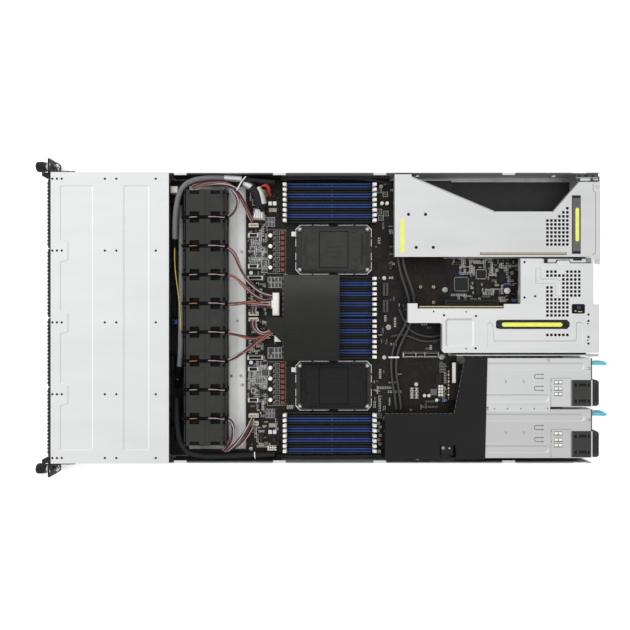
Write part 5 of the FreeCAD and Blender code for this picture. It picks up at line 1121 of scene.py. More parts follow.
# ------------------------------------------------------------------ memory slots: contacts and keys
dm = MB()
rows = []
for i in range(8):
    for s in (1, -1):
        rows.append((s * (149.6 + 7.87 * i), i % 2 == 1))
        rows.append((s * (5.1 + 7.87 * i), i % 2 == 0))
for y, blue in rows:
    body_m = BLUE if blue else SLOT_K
    # Rails each side of the groove, stepped at the key, and a raised band at both ends.
    for x0, x1 in ((-49.2, 17.2), (19.4, 78.2)):
        for s in (1, -1):
            dm.box(x0, x1, y + s * 1.55 - 0.35, y + s * 1.55 + 0.35, TOP + 10.9, TOP + 11.5, body_m, 0.15)
    for x0 in (-49.4, 74.6):
        for s in (1, -1):
            dm.box(x0, x0 + 3.8, y + s * 2.2 - 0.8, y + s * 2.2 + 0.8, TOP + 10.9, TOP + 13.0, body_m, 0.25)
    for s in (1, -1):
        dm.box(-47, 76, y + s * 1.05 - 0.16, y + s * 1.05 + 0.16, TOP + 8.6, TOP + 10.3, GOLD, 0.0)
dm.build("memory_slot_details", "chassis", "slot_blue")
for body, sx in (("dimm_latches_front", -1), ("dimm_latches_rear", 1)):
    lm = MB()
    p = 14.5 + sx * 68.4
    for y, blue in rows:
        # Finger ribs on the head of each latch.
        x0, x1 = sorted((p - sx * 0.6, p + sx * 2.8))
        for k in (-1, 0, 1):
            lm.box(x0, x1, y + k * 1.4 - 0.3, y + k * 1.4 + 0.3, 29.9, 30.25, WHITE, 0.12)
    lm.build(body + "_ribs", body, "latch_white")

# ------------------------------------------------------------------ sockets and dust covers
for n, s in ((1, 1), (2, -1)):
    cx, cy = 20.9, s * 106.0
    cov = COVER if n == 1 else COVER_SHADE_2
    f = MB()
    z3 = TOP + 3.4
    for a in (1, -1):
        for b in (1, -1):
            x, y = cx + a * 52.5, cy + b * 31.5
            f.turn(x, y, [(0, 3.9), (0.6, 3.9), (0.9, 3.6)], PLATED, 24, z=z3 - 0.1)
            f.turn(x, y, [(0, 2.4), (0.7, 2.4), (1.0, 2.0)], SCREW, 18, z=TOP + 7.4)
            # Dark slots bent round each stud.
            t = math.degrees(math.atan2(-b, -a))
            f.arc(x, y, 4.7, 6.0, t - 70, t + 70, z3 - 0.02, z3 + 0.06, FAN_D)
            # Bright bent corners of the frame's edge.
            f.line([(cx + a * 52.0, cy + b * 38.2), (cx + a * 58.9, cy + b * 31.3)], 1.1, z3 - 0.05, z3 + 0.6, STEEL_B)
        # Bright edge of the frame, broken by notches; spring arms and hinge eyes along the ends.
        for y0, y1 in ((-31.0, -19.5), (-16.5, -5.0), (5.0, 16.5), (19.5, 31.0)):
            f.box(cx + a * 58.9 - 0.5, cx + a * 58.9 + 0.5, cy + y0, cy + y1, z3 - 0.05, z3 + 0.6, STEEL_B, 0.15)
        for b in (-1, 0, 1):
            f.box(cx + a * 56.4 - 0.9, cx + a * 56.4 + 0.9, cy + b * 18 - 4.0, cy + b * 18 + 4.0, z3 - 0.1, TOP + 4.6, FRAME_D, 0.3)
        f.box(cx + a * 49.2 - 0.8, cx + a * 49.2 + 0.8, cy - 3.4, cy + 3.4, z3 - 0.1, z3 + 0.08, FAN_D, 0.02)
    for b in (1, -1):
        for x0, x1 in ((-52.0, -34.0), (-31.0, -7.5), (7.5, 31.0), (34.0, 52.0)):
            f.box(cx + x0, cx + x1, cy + b * 38.2 - 0.5, cy + b * 38.2 + 0.5, z3 - 0.05, z3 + 0.6, STEEL_B, 0.15)
        f.box(cx - 6.0, cx + 6.0, cy + b * 37.2 - 1.4, cy + b * 37.2 + 1.4, z3 - 0.1, z3 + 0.1, FAN_D, 0.02)
        for k in (-4, -3, -2, 2, 3, 4):
            f.box(cx + k * 9.0 - 1.0, cx + k * 9.0 + 1.0, cy + b * 36.2 - 0.8, cy + b * 36.2 + 0.8, z3 - 0.1, z3 + 0.1, DARK_SCREW, 0.02)
    f.box(cx - 66.0, cx - 59.2, cy + 21.0, cy + 28.6, TOP, TOP + 2.0, STEEL_B, 0.3)
    f.build("socket_frame_details_%d" % n, "chassis", "frame_steel")
    d = MB()
    z = TOP + 7.0
    # Raised rim, inner window frame and moulded finger steps.
    rim = [(-50.5, -25), (-45.2, -32.8), (45.2, -32.8), (50.5, -25), (50.5, 25), (45.2, 32.8), (-45.2, 32.8), (-50.5, 25)]
    for i in range(8):
        p, q = Vector(rim[i]), Vector(rim[(i + 1) % 8])
        t = (q - p).normalized()
        u = Vector((-t.y, t.x))
        e = 0.5
        pts = [p - t * e + u * e, p - t * e - u * e, q + t * e - u * e, q + t * e + u * e]
        d.prism([(cx + v.x, cy + v.y) for v in pts], z - 0.1, z + 0.9, cov, 0.25)
    for x0, x1, y0, y1 in ((-23.6, 23.6, 28.6, 29.7), (-23.6, 23.6, -29.7, -28.6), (-23.7, -22.6, -28.6, 28.6), (22.6, 23.7, -28.6, 28.6)):
        d.box(cx + x0, cx + x1, cy + y0, cy + y1, z - 0.1, z + 0.7, cov, 0.2)
    for a in (1, -1):
        for b in (1, -1):
            d.prism([(cx + a * 27, cy + b * 31), (cx + a * 36, cy + b * 31), (cx + a * 34, cy + b * 27), (cx + a * 27, cy + b * 27)], z - 0.1, z + 1.3, cov, 0.3)
            d.box(cx + a * 40 - 3.2, cx + a * 40 + 3.2, cy + b * 12 - 0.6, cy + b * 12 + 0.6, z - 0.1, z + 0.8, cov, 0.2)
            d.turn(cx + a * 33, cy + b * 15, [(0, 2.2), (0.5, 2.2), (0.7, 1.9)], cov, 20, z=z - 0.05)
        d.box(cx + a * 47.6 - 1.4, cx + a * 47.6 + 1.4, cy - 8.0, cy + 8.0, z - 0.1, z + 1.9, cov, 0.4)
    d.frame(cx - 22.5, cx + 22.5, cy - 28.5, cy + 28.5, z - 0.72, z - 0.6, 0.9, FAN_D)
    for k in range(4):
        d.box(cx - 14, cx + 14, cy - 12 + 8 * k - 0.35, cy - 12 + 8 * k + 0.35, z - 0.75, z - 0.35, cov, 0.1)
    d.build("socket_cover_details_%d" % n, "socket_cover_%d" % n, "black_plastic")

# ------------------------------------------------------------------ air guides
a = MB()
for y in (60.0, -60.0):
    a.box(-52.0, 26.0, y - 0.5, y + 0.5, 40.5, 40.9, BAFFLE, 0.15)
a.box(-55.6, -54.6, -58.0, 58.0, 40.5, 40.95, BAFFLE, 0.15)
a.box(27.2, 28.2, -60.0, 60.0, 40.5, 40.95, BAFFLE, 0.15)
a.box(-79.0, -59.0, -13.6, -12.6, 40.5, 40.85, BAFFLE, 0.12)
for y in (40.0, -40.0):
    a.turn(-49.0, y, [(0, 1.9), (0.3, 1.9), (0.4, 1.6)], BAFFLE, 18, z=40.55)
a.frame(-49.5, -26.2, -37.2, -17.8, 40.55, 40.66, 0.5, FAN_D)
a.turn(-52.5, -29.0, [(0, 1.6), (0.08, 1.5)], FAN_D, 18, z=40.58)
# Frame and screw in the window of the rear guide, and its fold lines.
for x0, x1, y0, y1 in ((179.4, 205.6, -192.5, -191.4), (179.4, 205.6, -211.6, -210.5), (179.4, 180.5, -211.0, -192.0), (204.5, 205.6, -211.0, -192.0)):
    a.box(x0, x1, y0, y1, 42.6, 43.1, DUCT, 0.15)
a.box(183.0, 202.0, -209.6, -193.4, 20.0, 36.6, CHIP, 0.3)
a.box(182.0, 203.0, -210.6, -192.4, 9.2, 20.2, CHIP, 0.3)
a.screw(186.4, -197.4, 36.6, 3.2, 2.0)
a.box(195.0, 197.4, -199.4, -197.0, 36.6, 37.0, SILVER, 0.1)
a.box(100.0, 200.0, -146.4, -145.6, 42.6, 42.95, DUCT, 0.12)
a.prism([(201.0, -145.2), (202.0, -145.2), (218.6, -60.6), (217.6, -60.6)], 42.6, 42.95, DUCT, 0.1)
a.box(98.6, 99.6, -212.0, -146.0, 42.6, 42.95, DUCT, 0.12)
# The cut edge of the duct sheet shows paler, in broken lengths.
for p, q, n in (((98.6, -144.8), (201.0, -144.8), 14), ((201.9, -143.6), (217.9, -61.2), 11)):
    for i in range(n):
        t0, t1 = (i + 0.08 * (i % 3)) / n, (i + 0.62 + 0.1 * (i % 2)) / n
        a.line([tuple(u + (v - u) * t for u, v in zip(p, q)) for t in (t0, t1)], 0.55, 42.5, 43.0, GREY)
a.build("air_guide_folds", "chassis", "black_plastic")

# ------------------------------------------------------------------ riser cage 1
r = MB()
r.pill(120.9, 126.8, 97.2, 148.5, 43.15, 43.45, LIME, 0.1)
for x, y in ((133.0, 156.0), (158.7, 156.0), (144.6, 106.2), (170.3, 106.2)):
    r.turn(x, y, [(0, 2.15), (0.07, 2.1)], FAN_D, 20, z=43.19)
    r.arc(x, y, 2.15, 2.5, 0, 360, 43.18, 43.25, SHADE, 24)
for x, y in ((234.8, 103.8), (252.9, 104.4)):
    r.turn(x, y, [(0, 2.0), (0.1, 1.6)], STEEL_B, 20, z=43.19)
# Flanges folded down from the slanted edges.
p, q = Vector((137.9, 212.6)), Vector((262.3, 160.2))
t = (q - p).normalized()
u = Vector((-t.y, t.x))
r.prism([tuple(p), tuple(q), tuple(q + u * 0.9), tuple(p + u * 0.9)], 34.0, 43.2, STEEL_B, 0.2)
r.box(264.0, 350.0, 159.5, 160.4, 34.0, 43.2, STEEL_B, 0.2)
p, q = Vector((353.0, 161.0)), Vector((391.6, 204.9))
t = (q - p).normalized()
u = Vector((-t.y, t.x))
r.prism([tuple(p), tuple(q), tuple(q + u * 0.9), tuple(p + u * 0.9)], 34.0, 43.2, STEEL_B, 0.2)
# Seam of the folded rear end.
r.line([(411.3, 201.8), (412.0, 191.3), (415.0, 189.0), (415.0, 97.7), (411.3, 94.7)], 0.75, 43.18, 43.26, SHADE)
r.box(403.8, 406.0, 95.4, 199.0, 43.15, 43.3, STEEL_B, 0.14)
r.prism([(412.8, 92.4), (412.8, 84.4), (414.2, 81.6), (417.2, 80.4), (422.3, 80.4), (422.3, 92.4)], 42.2, 43.2, STEEL_B, 0.3)
r.arc(417.6, 86.4, 2.0, 2.5, 0, 360, 43.18, 43.25, SHADE, 20)
r.arc(417.6, 197.6, 2.0, 2.5, 0, 360, 43.18, 43.25, SHADE, 20)
# Black sheet behind the vent holes: painted shade for the dark space under the plate.
r.prism([(339.5, 108.0), (376.5, 108.0), (376.5, 184.0), (362.0, 168.0), (353.0, 158.5), (339.5, 158.5)], 41.7, 42.18, FAN_D)
# Blanking plates behind the rear slots.
for z in (22.4, 4.2):
    r.box(419.9, 421.1, 97.0, 209.0, z, z + 17.0, GALV, 0.2)
    for k in range(17):
        r.box(419.4, 419.95, 99.0 + 6.4 * k, 102.0 + 6.4 * k, z + 3.0, z + 14.0, FAN_D, 0.05)
# Retaining beam for the card's far end.
r.box(113.6, 115.0, 100.0, 212.0, 24.0, 42.0, STEEL_B, 0.3)
r.build("riser_1_details", "riser_1", "galvanised_steel")
lt = MB()
lt.pill(384.7, 390.1, 115.1, 166.0, 43.55, 43.95, LIME, 0.12)
for y0, y1 in ((97.0, 100.6), (180.6, 184.2)):
    lt.box(380.9, 392.4, y0, y1, 43.5, 43.95, BLACK_S, 0.25)
for k in range(6):
    lt.box(383.0, 391.0, 104.6 + 1.1 * k, 105.1 + 1.1 * k, 43.5, 43.8, GREY, 0.08)
    lt.box(383.0, 391.0, 170.0 + 1.1 * k, 170.5 + 1.1 * k, 43.5, 43.8, GREY, 0.08)
lt.build("riser_latch_1_grip", "riser_latch_1", "dark_grey_plastic")

# ------------------------------------------------------------------ riser cage 2
r = MB()
for x, y in ((186.5, 3.8), (234.8, 2.7), (234.3, -46.0), (324.0, 32.5), (308.0, 84.0), (308.0, 30.5), (404.5, 5.0), (404.5, -4.8), (404.5, -29.0), (404.5, -38.8)):
    r.turn(x, y, [(0, 1.5), (0.07, 1.45)], FAN_D, 18, z=43.19)
    r.arc(x, y, 1.5, 1.9, 0, 360, 43.18, 43.25, SHADE, 20)
# Sloping walls of the sunk square and of the pressed beads, and the lips of the handle window.
r.rim(cham(189.4, -43.3, 231.8, -1.7, 3.0), 42.05, 43.19, 2.3, STEEL_C)
r.rim([(325.0, 75.0), (330.5, 75.0), (332.5, 73.0), (332.5, 60.0), (334.0, 58.5), (358.0, 58.5), (361.5, 55.0), (361.5, 33.0), (355.0, 33.0), (355.0, 50.0), (353.0, 52.0), (325.0, 52.0)], 42.9, 43.19, 0.6, STEEL_C)
r.rim([(262.0, -35.0), (384.0, -35.0), (386.0, -33.0), (386.0, -9.0), (388.0, -7.0), (393.5, -7.0), (396.0, -9.5), (396.0, -41.5), (394.0, -43.5), (252.0, -43.5), (252.0, -10.0), (256.0, -6.5), (260.0, -10.0)], 42.9, 43.19, 0.6, STEEL_C)
for x0, x1, y0, y1 in ((266.0, 372.0, -2.9, -2.2), (266.0, 372.0, -17.7, -17.0)):
    r.box(x0, x1, y0, y1, 43.15, 43.5, STEEL_C, 0.15)
# Folded edges of the plate.
r.box(302.0, 333.6, 89.0, 89.9, 34.0, 43.2, STEEL_C, 0.2)
r.box(301.5, 302.4, 22.0, 89.0, 34.0, 43.2, STEEL_C, 0.2)
r.box(131.5, 132.4, -7.0, 21.0, 38.0, 43.2, STEEL_C, 0.2)
r.box(183.3, 184.2, -48.0, -9.0, 34.0, 43.2, STEEL_C, 0.2)
# Hooked rail in the notch of the edge, under the plate, with its dark stops.
r.box(332.0, 410.6, 78.0, 90.0, 40.9, 41.7, STEEL, 0.2)
r.box(332.0, 410.6, 78.0, 81.6, 41.6, 42.2, STEEL_C, 0.1)
r.box(338.0, 343.4, 82.6, 89.6, 41.6, 42.7, BLACK_S, 0.3)
r.box(382.0, 395.0, 86.6, 89.8, 41.6, 42.6, BLACK_S, 0.3)
r.box(401.6, 408.0, 82.8, 89.8, 41.6, 42.4, GREY_D, 0.3)
for k in range(3):
    r.box(402.4 + 1.9 * k, 403.2 + 1.9 * k, 83.6, 89.0, 42.35, 42.7, SCREW, 0.1)
# Black lines along the plate's edge over the rail: painted shadow of the edge.
r.line([(344.0, 82.9), (355.4, 82.9), (357.4, 87.1), (375.6, 87.1), (377.6, 82.9), (408.4, 82.9)], 1.2, 41.66, 42.3, FAN_D)
r.line([(334.8, 89.4), (409.0, 89.4)], 0.8, 41.66, 42.0, FAN_D)
# Grey lines along the edges of the pressed beads and of the sunk square: painted shade.
r.line([(330.6, 75.0), (332.6, 73.0), (332.6, 60.0), (334.1, 58.6), (358.0, 58.6), (361.4, 55.2)], 0.5, 43.17, 43.23, SHADE)
r.line([(324.8, 75.0), (324.8, 51.8), (353.0, 51.8), (354.8, 50.0), (354.8, 33.0)], 0.3, 43.17, 43.22, SHADE)
r.line([(361.7, 54.0), (361.7, 32.8), (354.8, 32.8)], 0.3, 43.17, 43.22, SHADE)
r.line([(252.0, -10.0), (256.0, -6.4), (260.0, -10.0), (262.0, -34.9), (384.0, -34.9), (386.1, -32.9), (386.1, -9.0), (388.0, -6.9), (393.5, -6.9), (396.1, -9.5)], 0.5, 43.17, 43.23, SHADE)
r.line([(189.3, -41.0), (189.3, -4.6), (192.4, -1.6), (229.0, -1.6)], 0.6, 43.17, 43.23, SHADE)
# Black sheets behind the vent holes: painted shade for the dark space under the plate.
r.box(338.0, 395.4, -30.0, 5.4, 41.75, 42.18, FAN_D)
r.box(338.0, 378.4, 5.4, 22.0, 41.75, 42.18, FAN_D)
r.box(338.0, 395.4, 22.0, 74.0, 41.75, 42.18, FAN_D)
# Retainer seen in the square window, and blanking plate behind the rear slots.
r.box(378.8, 399.8, 5.8, 21.4, 41.2, 42.16, FAN_D)
r.box(384.0, 386.4, 9.0, 11.4, 42.1, 42.5, GOLD, 0.15)
r.box(389.0, 395.6, 8.6, 9.8, 42.1, 42.5, TAN, 0.15)
r.box(387.6, 393.4, 13.0, 18.0, 42.1, 42.5, W_COL["navy"], 0.2)
r.box(409.3, 410.5, -48.0, 86.0, 25.6, 40.8, GALV, 0.2)
for k in range(20):
    r.box(408.9, 409.35, -44.0 + 6.4 * k, -40.8 + 6.4 * k, 28.0, 39.0, FAN_D, 0.05)
# Long socket on the far face of the riser board.
r.box(190.0, 274.0, 19.2, 28.0, 22.0, 30.5, BLACK_S, 0.4)
r.box(193.0, 271.0, 22.6, 24.4, 30.4, 30.6, FAN_D)
r.build("riser_2_details", "riser_2", "galvanised_steel")
hd = MB()
hd.pill(273.8, 364.9, -13.4, -7.2, 43.4, 43.85, LIME, 0.12)
hd.box(367.0, 373.0, -14.2, -6.0, 43.4, 43.8, BLACK_S, 0.2)
for k in range(4):
    hd.box(367.4 + 1.4 * k, 368.0 + 1.4 * k, -13.6, -6.6, 43.75, 44.0, BLACK_S, 0.08)
hd.build("riser_handle_2_grip", "riser_handle_2", "black_plastic")

# ------------------------------------------------------------------ power supplies
for n, yc in zip((1, 2), PSU_Y):
    p = MB()
    zt = 41.4
    # The second supply takes the darker zinc copy: painted shade.
    case = STEEL if n == 1 else STEEL_SUPPLY_SHADE
    # Sloping walls of the two long sunk beads.
    for y, end in ((yc + 24.1, 393.6), (yc - 23.8, 339.6)):
        pts = [(223.4, y - 6.0)] + [(end + 6.0 * math.cos(math.radians(-90 + 15 * i)), y + 6.0 * math.sin(math.radians(-90 + 15 * i))) for i in range(13)] + [(223.4, y + 6.0)]
        p.rim(pts, 40.3, zt - 0.01, 2.0, case)
    # Dimples, each with a dark crescent on one side: painted shade of the dimple.
    for x in (279.1, 306.3):
        p.arc(x, yc + 0.9, 1.5, 2.4, -60, 100, zt - 0.02, zt + 0.1, GREY, 18)
        p.turn(x, yc + 0.9, [(0, 1.6), (0.14, 1.2)], case, 24, z=zt - 0.02)
    # Lanced hooks: the dark cut round each.
    for y0, y1 in ((yc + 6.2, yc + 12.4), (yc - 12.0, yc - 5.8)):
        ym, rr = (y0 + y1) / 2, (y1 - y0) / 2
        p.arc(323.6 + rr, ym, rr - 0.4, rr + 0.4, 90, 270, zt - 0.02, zt + 0.06, FAN_D, 14)
        for y in (y0, y1):
            p.line([(323.6 + rr, y), (336.9, y)], 0.8, zt - 0.02, zt + 0.06, FAN_D)
            p.box(335.2, 337.2, y - 0.7, y + 0.7, zt - 0.02, zt + 0.1, FAN_D, 0.02)
        p.box(326.4, 336.6, ym - 0.9, ym + 0.9, zt - 0.02, zt + 0.1, case, 0.02)
    for x, y in ((344.1, yc + 34.0), (406.0, yc + 21.1)):
        p.line([(x - 1.8, y - 1.4), (x + 1.8, y - 1.4), (x + 1.8, y + 1.4), (x - 1.8, y + 1.4)], 0.6, zt - 0.02, zt + 0.06, FAN_D)
    # Overlapping rear cover with three windows, two light cells in each.
    p.box(348.8, 379.8, yc - 36.4, yc + 6.4, zt - 0.05, zt + 0.22, case, 0.1)
    for y in (yc + 0.6, yc - 9.0, yc - 17.3):
        p.box(353.4, 365.8, y - 2.8, y + 2.8, zt + 0.2, zt + 0.28, GREY, 0.01)
        p.line([(353.4, y - 2.8), (365.8, y - 2.8)], 0.7, zt + 0.2, zt + 0.3, FAN_D)
        for s in (1, -1):
            p.box(359.6 + s * 3.1 - 2.5, 359.6 + s * 3.1 + 2.5, y - 1.9, y + 1.9, zt + 0.25, zt + 0.36, WHITE, 0.04)
    p.line([(348.5, yc - 36.0), (348.5, yc + 6.7), (379.6, yc + 6.7)], 0.55, zt - 0.02, zt + 0.05, SHADE)
    for y in (yc + 3.6, yc - 11.6):
        p.turn(349.6, y, [(0, 0.7), (0.05, 0.65)], FAN_D, 12, z=zt + 0.22)
    # Rear face: black plate with a grille round the latch, status light.
    for y0, y1, z0, z1 in ((yc + 4.4, yc + 21.6, 2.4, 41.2), (yc + 34.8, yc + 36.6, 2.4, 41.2), (yc + 21.6, yc + 34.8, 36.4, 41.2), (yc + 21.6, yc + 34.8, 2.4, 8.6)):
        p.box(409.0, 410.8, y0, y1, z0, z1, BLACK, 0.2)
    for k in range(7):
        for j in range(3):
            p.box(410.75, 410.95, yc + 6.4 + 4.9 * j, yc + 10.0 + 4.9 * j, 4.6 + 5.0 * k, 8.0 + 5.0 * k, FAN_D, 0.02)
    p.turn(410.7, yc + 24.0, [(0, 1.2), (0.5, 1.2), (0.8, 0.8)], LIME, 14, "X", z=38.8)
    # Sprung contact clip on the side of the case.
    p.box(372.0, 399.5, yc + 36.7, yc + 38.2, 18.0, 26.0, SCREW, 0.3)
    for k in range(10):
        p.box(228.0 + 12.0 * k, 233.0 + 12.0 * k, yc - 36.95, yc - 36.7, 12.0, 30.0, FAN_D, 0.02)
        p.box(228.0 + 12.0 * k, 233.0 + 12.0 * k, yc + 36.7, yc + 36.95, 12.0, 30.0, FAN_D, 0.02)
    p.build("psu_details_%d" % n, "psu_%d" % n, "galvanised_steel")
    hnd = MB()
    c0 = yc - 15.8
    hnd.box(381.0, 408.0, yc - 34.6, yc + 3.0, 41.25, 41.6, INLET, 0.25)
    for y in (yc - 3.9, yc - 28.0):
        for x0, w in ((384.2, 3.4), (391.0, 2.6), (395.0, 2.6), (399.0, 2.6), (404.4, 2.8)):
            hnd.box(x0, x0 + w, y - 2.3, y + 2.3, 41.55, 41.66, FAN_D, 0.02)
        hnd.box(391.0, 401.6, y + 0.6, y + 2.3, 41.56, 41.68, FAN_D, 0.02)
    hnd.box(409.3, 411.3, yc - 35.2, yc + 3.6, 41.25, 41.75, STEEL, 0.15)
    hnd.box(378.4, 380.6, yc - 35.2, yc + 3.6, 41.35, 42.0, SHADE, 0.1)
    for x0, x1, y0, y1, z0, z1 in ((420.9, 421.5, c0 - 16.4, c0 + 16.4, 37.4, 38.6), (420.9, 421.5, c0 - 16.4, c0 + 16.4, 16.0, 17.2), (420.9, 421.5, c0 - 16.6, c0 - 15.0, 17.0, 37.6), (420.9, 421.5, c0 + 15.0, c0 + 16.6, 17.0, 37.6)):
        hnd.box(x0, x1, y0, y1, z0, z1, BLACK_S, 0.2)
    for k in range(6):
        hnd.box(412.6 + 1.15 * k, 413.1 + 1.15 * k, c0 - 14.0, c0 + 14.0, 41.2, 41.6, BLACK, 0.1)
    hnd.build("psu_grip_%d" % n, "psu_%d" % n, "black_plastic")
    la = MB()
    yl = yc + 28.3
    for k in range(6):
        la.box(424.0 + 1.8 * k, 424.8 + 1.8 * k, yl + 2.2, yl + 3.2, 15.0, 31.0, TEAL, 0.2)
    la.box(412.0, 434.0, yl - 1.6, yl + 1.6, 33.9, 34.5, TEAL, 0.25)
    la.build("psu_latch_grip_%d" % n, "psu_latch_%d" % n, "release_teal")

# ------------------------------------------------------------------ rear ports
rp = MB()
for y in (72.0, 54.0, 34.0):
    for k in range(8):
        yy = y - 3.9 + 1.12 * k
        rp.box(396.0, 405.0, yy - 0.2, yy + 0.2, 18.6, 19.2, GOLD, 0.0)
    for s in (1, -1):
        rp.box(409.9, 410.5, y + s * 7.0 - 0.9, y + s * 7.0 + 0.9, 20.8, 22.4, LIME if s > 0 else W_COL["orange"], 0.15)
    rp.box(394.6, 395.4, y - 5.9, y + 5.9, 12.1, 20.7, BLACK_S, 0.1)
for y in (12.0, -6.0):
    for k in range(4):
        rp.box(396.0, 406.0, y - 4.0 + 2.4 * k, y - 3.0 + 2.4 * k, 11.8, 12.1, GOLD, 0.0)
for s in (1, -1):
    rp.turn(409.8, -32.0 + s * 15.6, [(0, 2.6), (3.2, 2.6), (3.6, 2.2)], SCREW, 6, "X", z=14.9)
rp.box(404.4, 405.2, -40.4, -23.6, 11.2, 18.8, W_COL["navy"], 0.2)
for k in range(3):
    for j in range(5):
        rp.turn(405.1, -37.2 + 2.6 * j + 0.6 * (k % 2), [(0, 0.45), (2.2, 0.45)], GOLD, 8, "X", z=12.8 + 2.1 * k)
rp.turn(409.8, 86.0, [(0, 2.4), (1.0, 2.4), (1.4, 2.0)], BLACK_S, 20, "X", z=12.0)
rp.turn(409.8, 86.0, [(0, 1.4), (1.8, 1.4), (2.0, 1.1)], LIME, 16, "X", z=19.0)
for y in (-52.0, 24.0, 89.0):
    rp.turn(409.8, y, [(0, 2.6), (0.7, 2.6), (1.1, 1.9)], SCREW, 18, "X", z=4.6)
rp.build("rear_port_details", "chassis", "frame_steel")

# ------------------------------------------------------------------ drive carriers
for n in (1, 2, 3, 4):
    yc = (2.5 - n) * PITCH
    b = MB()
    # Honeycomb grille in the lower field.
    r_ = 2.9
    for row in range(4):
        for k in range(17):
            y = yc - 44.5 + 5.4 * k + (2.7 if row % 2 else 0)
            z = 7.4 + 4.75 * row
            if y > yc + 45.5:
                continue
            k2 = b.mi(BLACK_S)
            base = len(b.v)
            for rr, xx in ((r_, -406.2), (r_, -408.4), (r_ * 0.76, -408.8), (r_ * 0.76, -406.2)):
                for i in range(6):
                    t_ = math.pi / 6 + math.pi / 3 * i
                    b.v.append((xx, y + rr * math.cos(t_), z + rr * math.sin(t_)))
            for ring in range(3):
                for i in range(6):
                    p0, p1 = base + ring * 6 + i, base + ring * 6 + (i + 1) % 6
                    b.f.append((p0, p0 + 6, p1 + 6, p1))
                    b.k.append(k2)
    for z0, z1 in ((4.6, 5.4), (23.6, 24.4)):
        b.box(-409.6, -406.4, yc - 47.4, yc + 47.4, z0, z1, BLACK, 0.2)
    for s in (1, -1):
        b.box(-409.6, -406.4, yc + s * 47.0 - 0.5, yc + s * 47.0 + 0.5, 5.0, 24.0, BLACK, 0.2)
    for k in range(18):
        b.box(-412.9, -411.2, yc - 47.6 + 5.4 * k, yc - 44.2 + 5.4 * k, 39.8, 41.8, BLACK, 0.5)
    # Status lights beside the release button.
    for k, m in ((0, LIME), (1, W_COL["navy"])):
        b.turn(-411.3, yc + 49.4, [(-0.35, 0.6), (0.0, 0.95), (0.5, 0.95)], m, 14, "X", z=30.0 + 5.0 * k)
    # Side rails of the tray: screw heads and pressed guides.
    for s in (1, -1):
        for x in (-380.0, -335.0, -278.0):
            b.turn(x, yc + s * 50.2, [(-0.35, 2.2), (0.35, 2.2)], SCREW, 16, "Y", z=10.2)
    b.build("carrier_front_%d" % n, "drive_carrier_%d" % n, "black_plastic")
    v = MB()
    for k in range(5):
        v.box(-411.25, -410.8, yc + 21.0 + 2.1 * k, yc + 22.1 + 2.1 * k, 28.6, 37.0, BLACK_S, 0.12)
    v.box(-411.2, -410.8, yc - 39.0, yc + 17.0, 27.4, 28.0, GREY, 0.1)
    v.box(-411.2, -410.8, yc - 39.0, yc + 17.0, 37.6, 38.2, GREY, 0.1)
    for k in range(7):
        v.box(-411.05, -410.8, yc - 36.0 + 7.2 * k, yc - 31.0 + 7.2 * k, 30.2, 35.4, FAN_D, 0.08)
    v.build("carrier_lever_grip_%d" % n, "carrier_lever_%d" % n, "black_plastic")
    t2 = MB()
    for k in range(3):
        t2.box(-412.55, -412.15, yc + 38.4 + 2.2 * k, yc + 39.4 + 2.2 * k, 30.0, 35.6, TEAL, 0.12)
    t2.build("carrier_button_grip_%d" % n, "carrier_button_%d" % n, "release_teal")

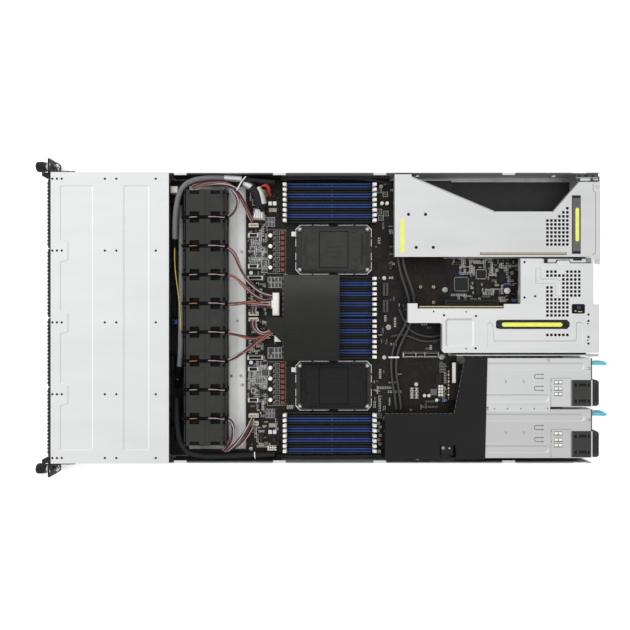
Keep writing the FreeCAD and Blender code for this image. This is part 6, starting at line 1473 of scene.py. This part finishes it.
# ------------------------------------------------------------------ ears: screws, knurled knobs, light pipes
for side, s in (("left", 1), ("right", -1)):
    e = MB()
    for z in (10.0, 34.0):
        y0, y1 = (223.0, 223.4) if s > 0 else (-223.4, -223.0)
        e.turn(-384.0, y0, [(0, 1.4), (0.4, 1.2)], SCREW, 6, "Y", z=z)
    for k in range(3):
        e.turn(-421.35, s * 217.0, [(0, 0.9), (0.5, 1.0)], LIME if k == 0 else SILVER, 14, "X", z=12.0 + 4.0 * k)
    e.build("ear_%s_details" % side, "chassis", "black_metal")
    kb = MB()
    y, z = s * 232.55, 22.2
    for k in range(30):
        t_ = 2 * math.pi * k / 30
        cy, cz = y + 7.5 * math.cos(t_), z + 7.5 * math.sin(t_)
        w = 0.42
        ring0 = []
        for dx, rr in ((-435.4, 0.0), (-434.8, 1.0), (-425.2, 1.0), (-424.6, 0.0)):
            pts = []
            for da, dr in ((-0.07, -0.2), (0.0, 0.45 * rr), (0.07, -0.2)):
                pts.append((dx, y + (7.5 + dr) * math.cos(t_ + da), z + (7.5 + dr) * math.sin(t_ + da)))
            ring0.append(pts)
        kb.loops(ring0, BLACK_S)
    kb.turn(-436.62, y, [(-0.0, 4.6), (0.3, 5.2)], BLACK_S, 28, "X", z=z)
    kb.box(-436.64, -436.5, y - 3.6, y + 3.6, z - 0.5, z + 0.5, FAN_D, 0.02)
    kb.box(-436.64, -436.5, y - 0.5, y + 0.5, z - 3.6, z + 3.6, FAN_D, 0.02)
    kb.turn(-420.0, y, [(0, 5.2), (0.4, 5.5), (1.6, 5.5), (2.0, 5.2)], SCREW, 28, "X", z=z)
    kb.turn(-424.8, y, [(0, 7.0), (0.4, 7.3), (2.2, 7.3), (2.6, 7.0)], BLACK_S, 28, "X", z=z)
    kb.turn(-411.8, y, [(0, 3.6), (0.5, 4.2), (2.6, 4.2), (2.8, 3.4), (4.6, 3.4), (4.8, 4.2), (7.0, 4.2), (7.4, 3.6)], SCREW, 28, "X", z=z)
    kb.build("%s_thumbscrew_knurl" % side, side + "_thumbscrew", "knob_black")

# ------------------------------------------------------------------ floor
fl = bpy.data.meshes.new("studio_floor")
k = 24
vs, fs = [], []
for i in range(k + 1):
    for j in range(k + 1):
        vs.append((-36 + 72 * i / k, -36 + 72 * j / k, -0.0005))
for i in range(k):
    for j in range(k):
        q = i * (k + 1) + j
        fs.append((q, q + k + 1, q + k + 2, q + 1))
fl.from_pydata(vs, [], fs)
fl.materials.append(FLOOR)
flo = bpy.data.objects.new("studio_floor", fl)
scene.collection.objects.link(flo)
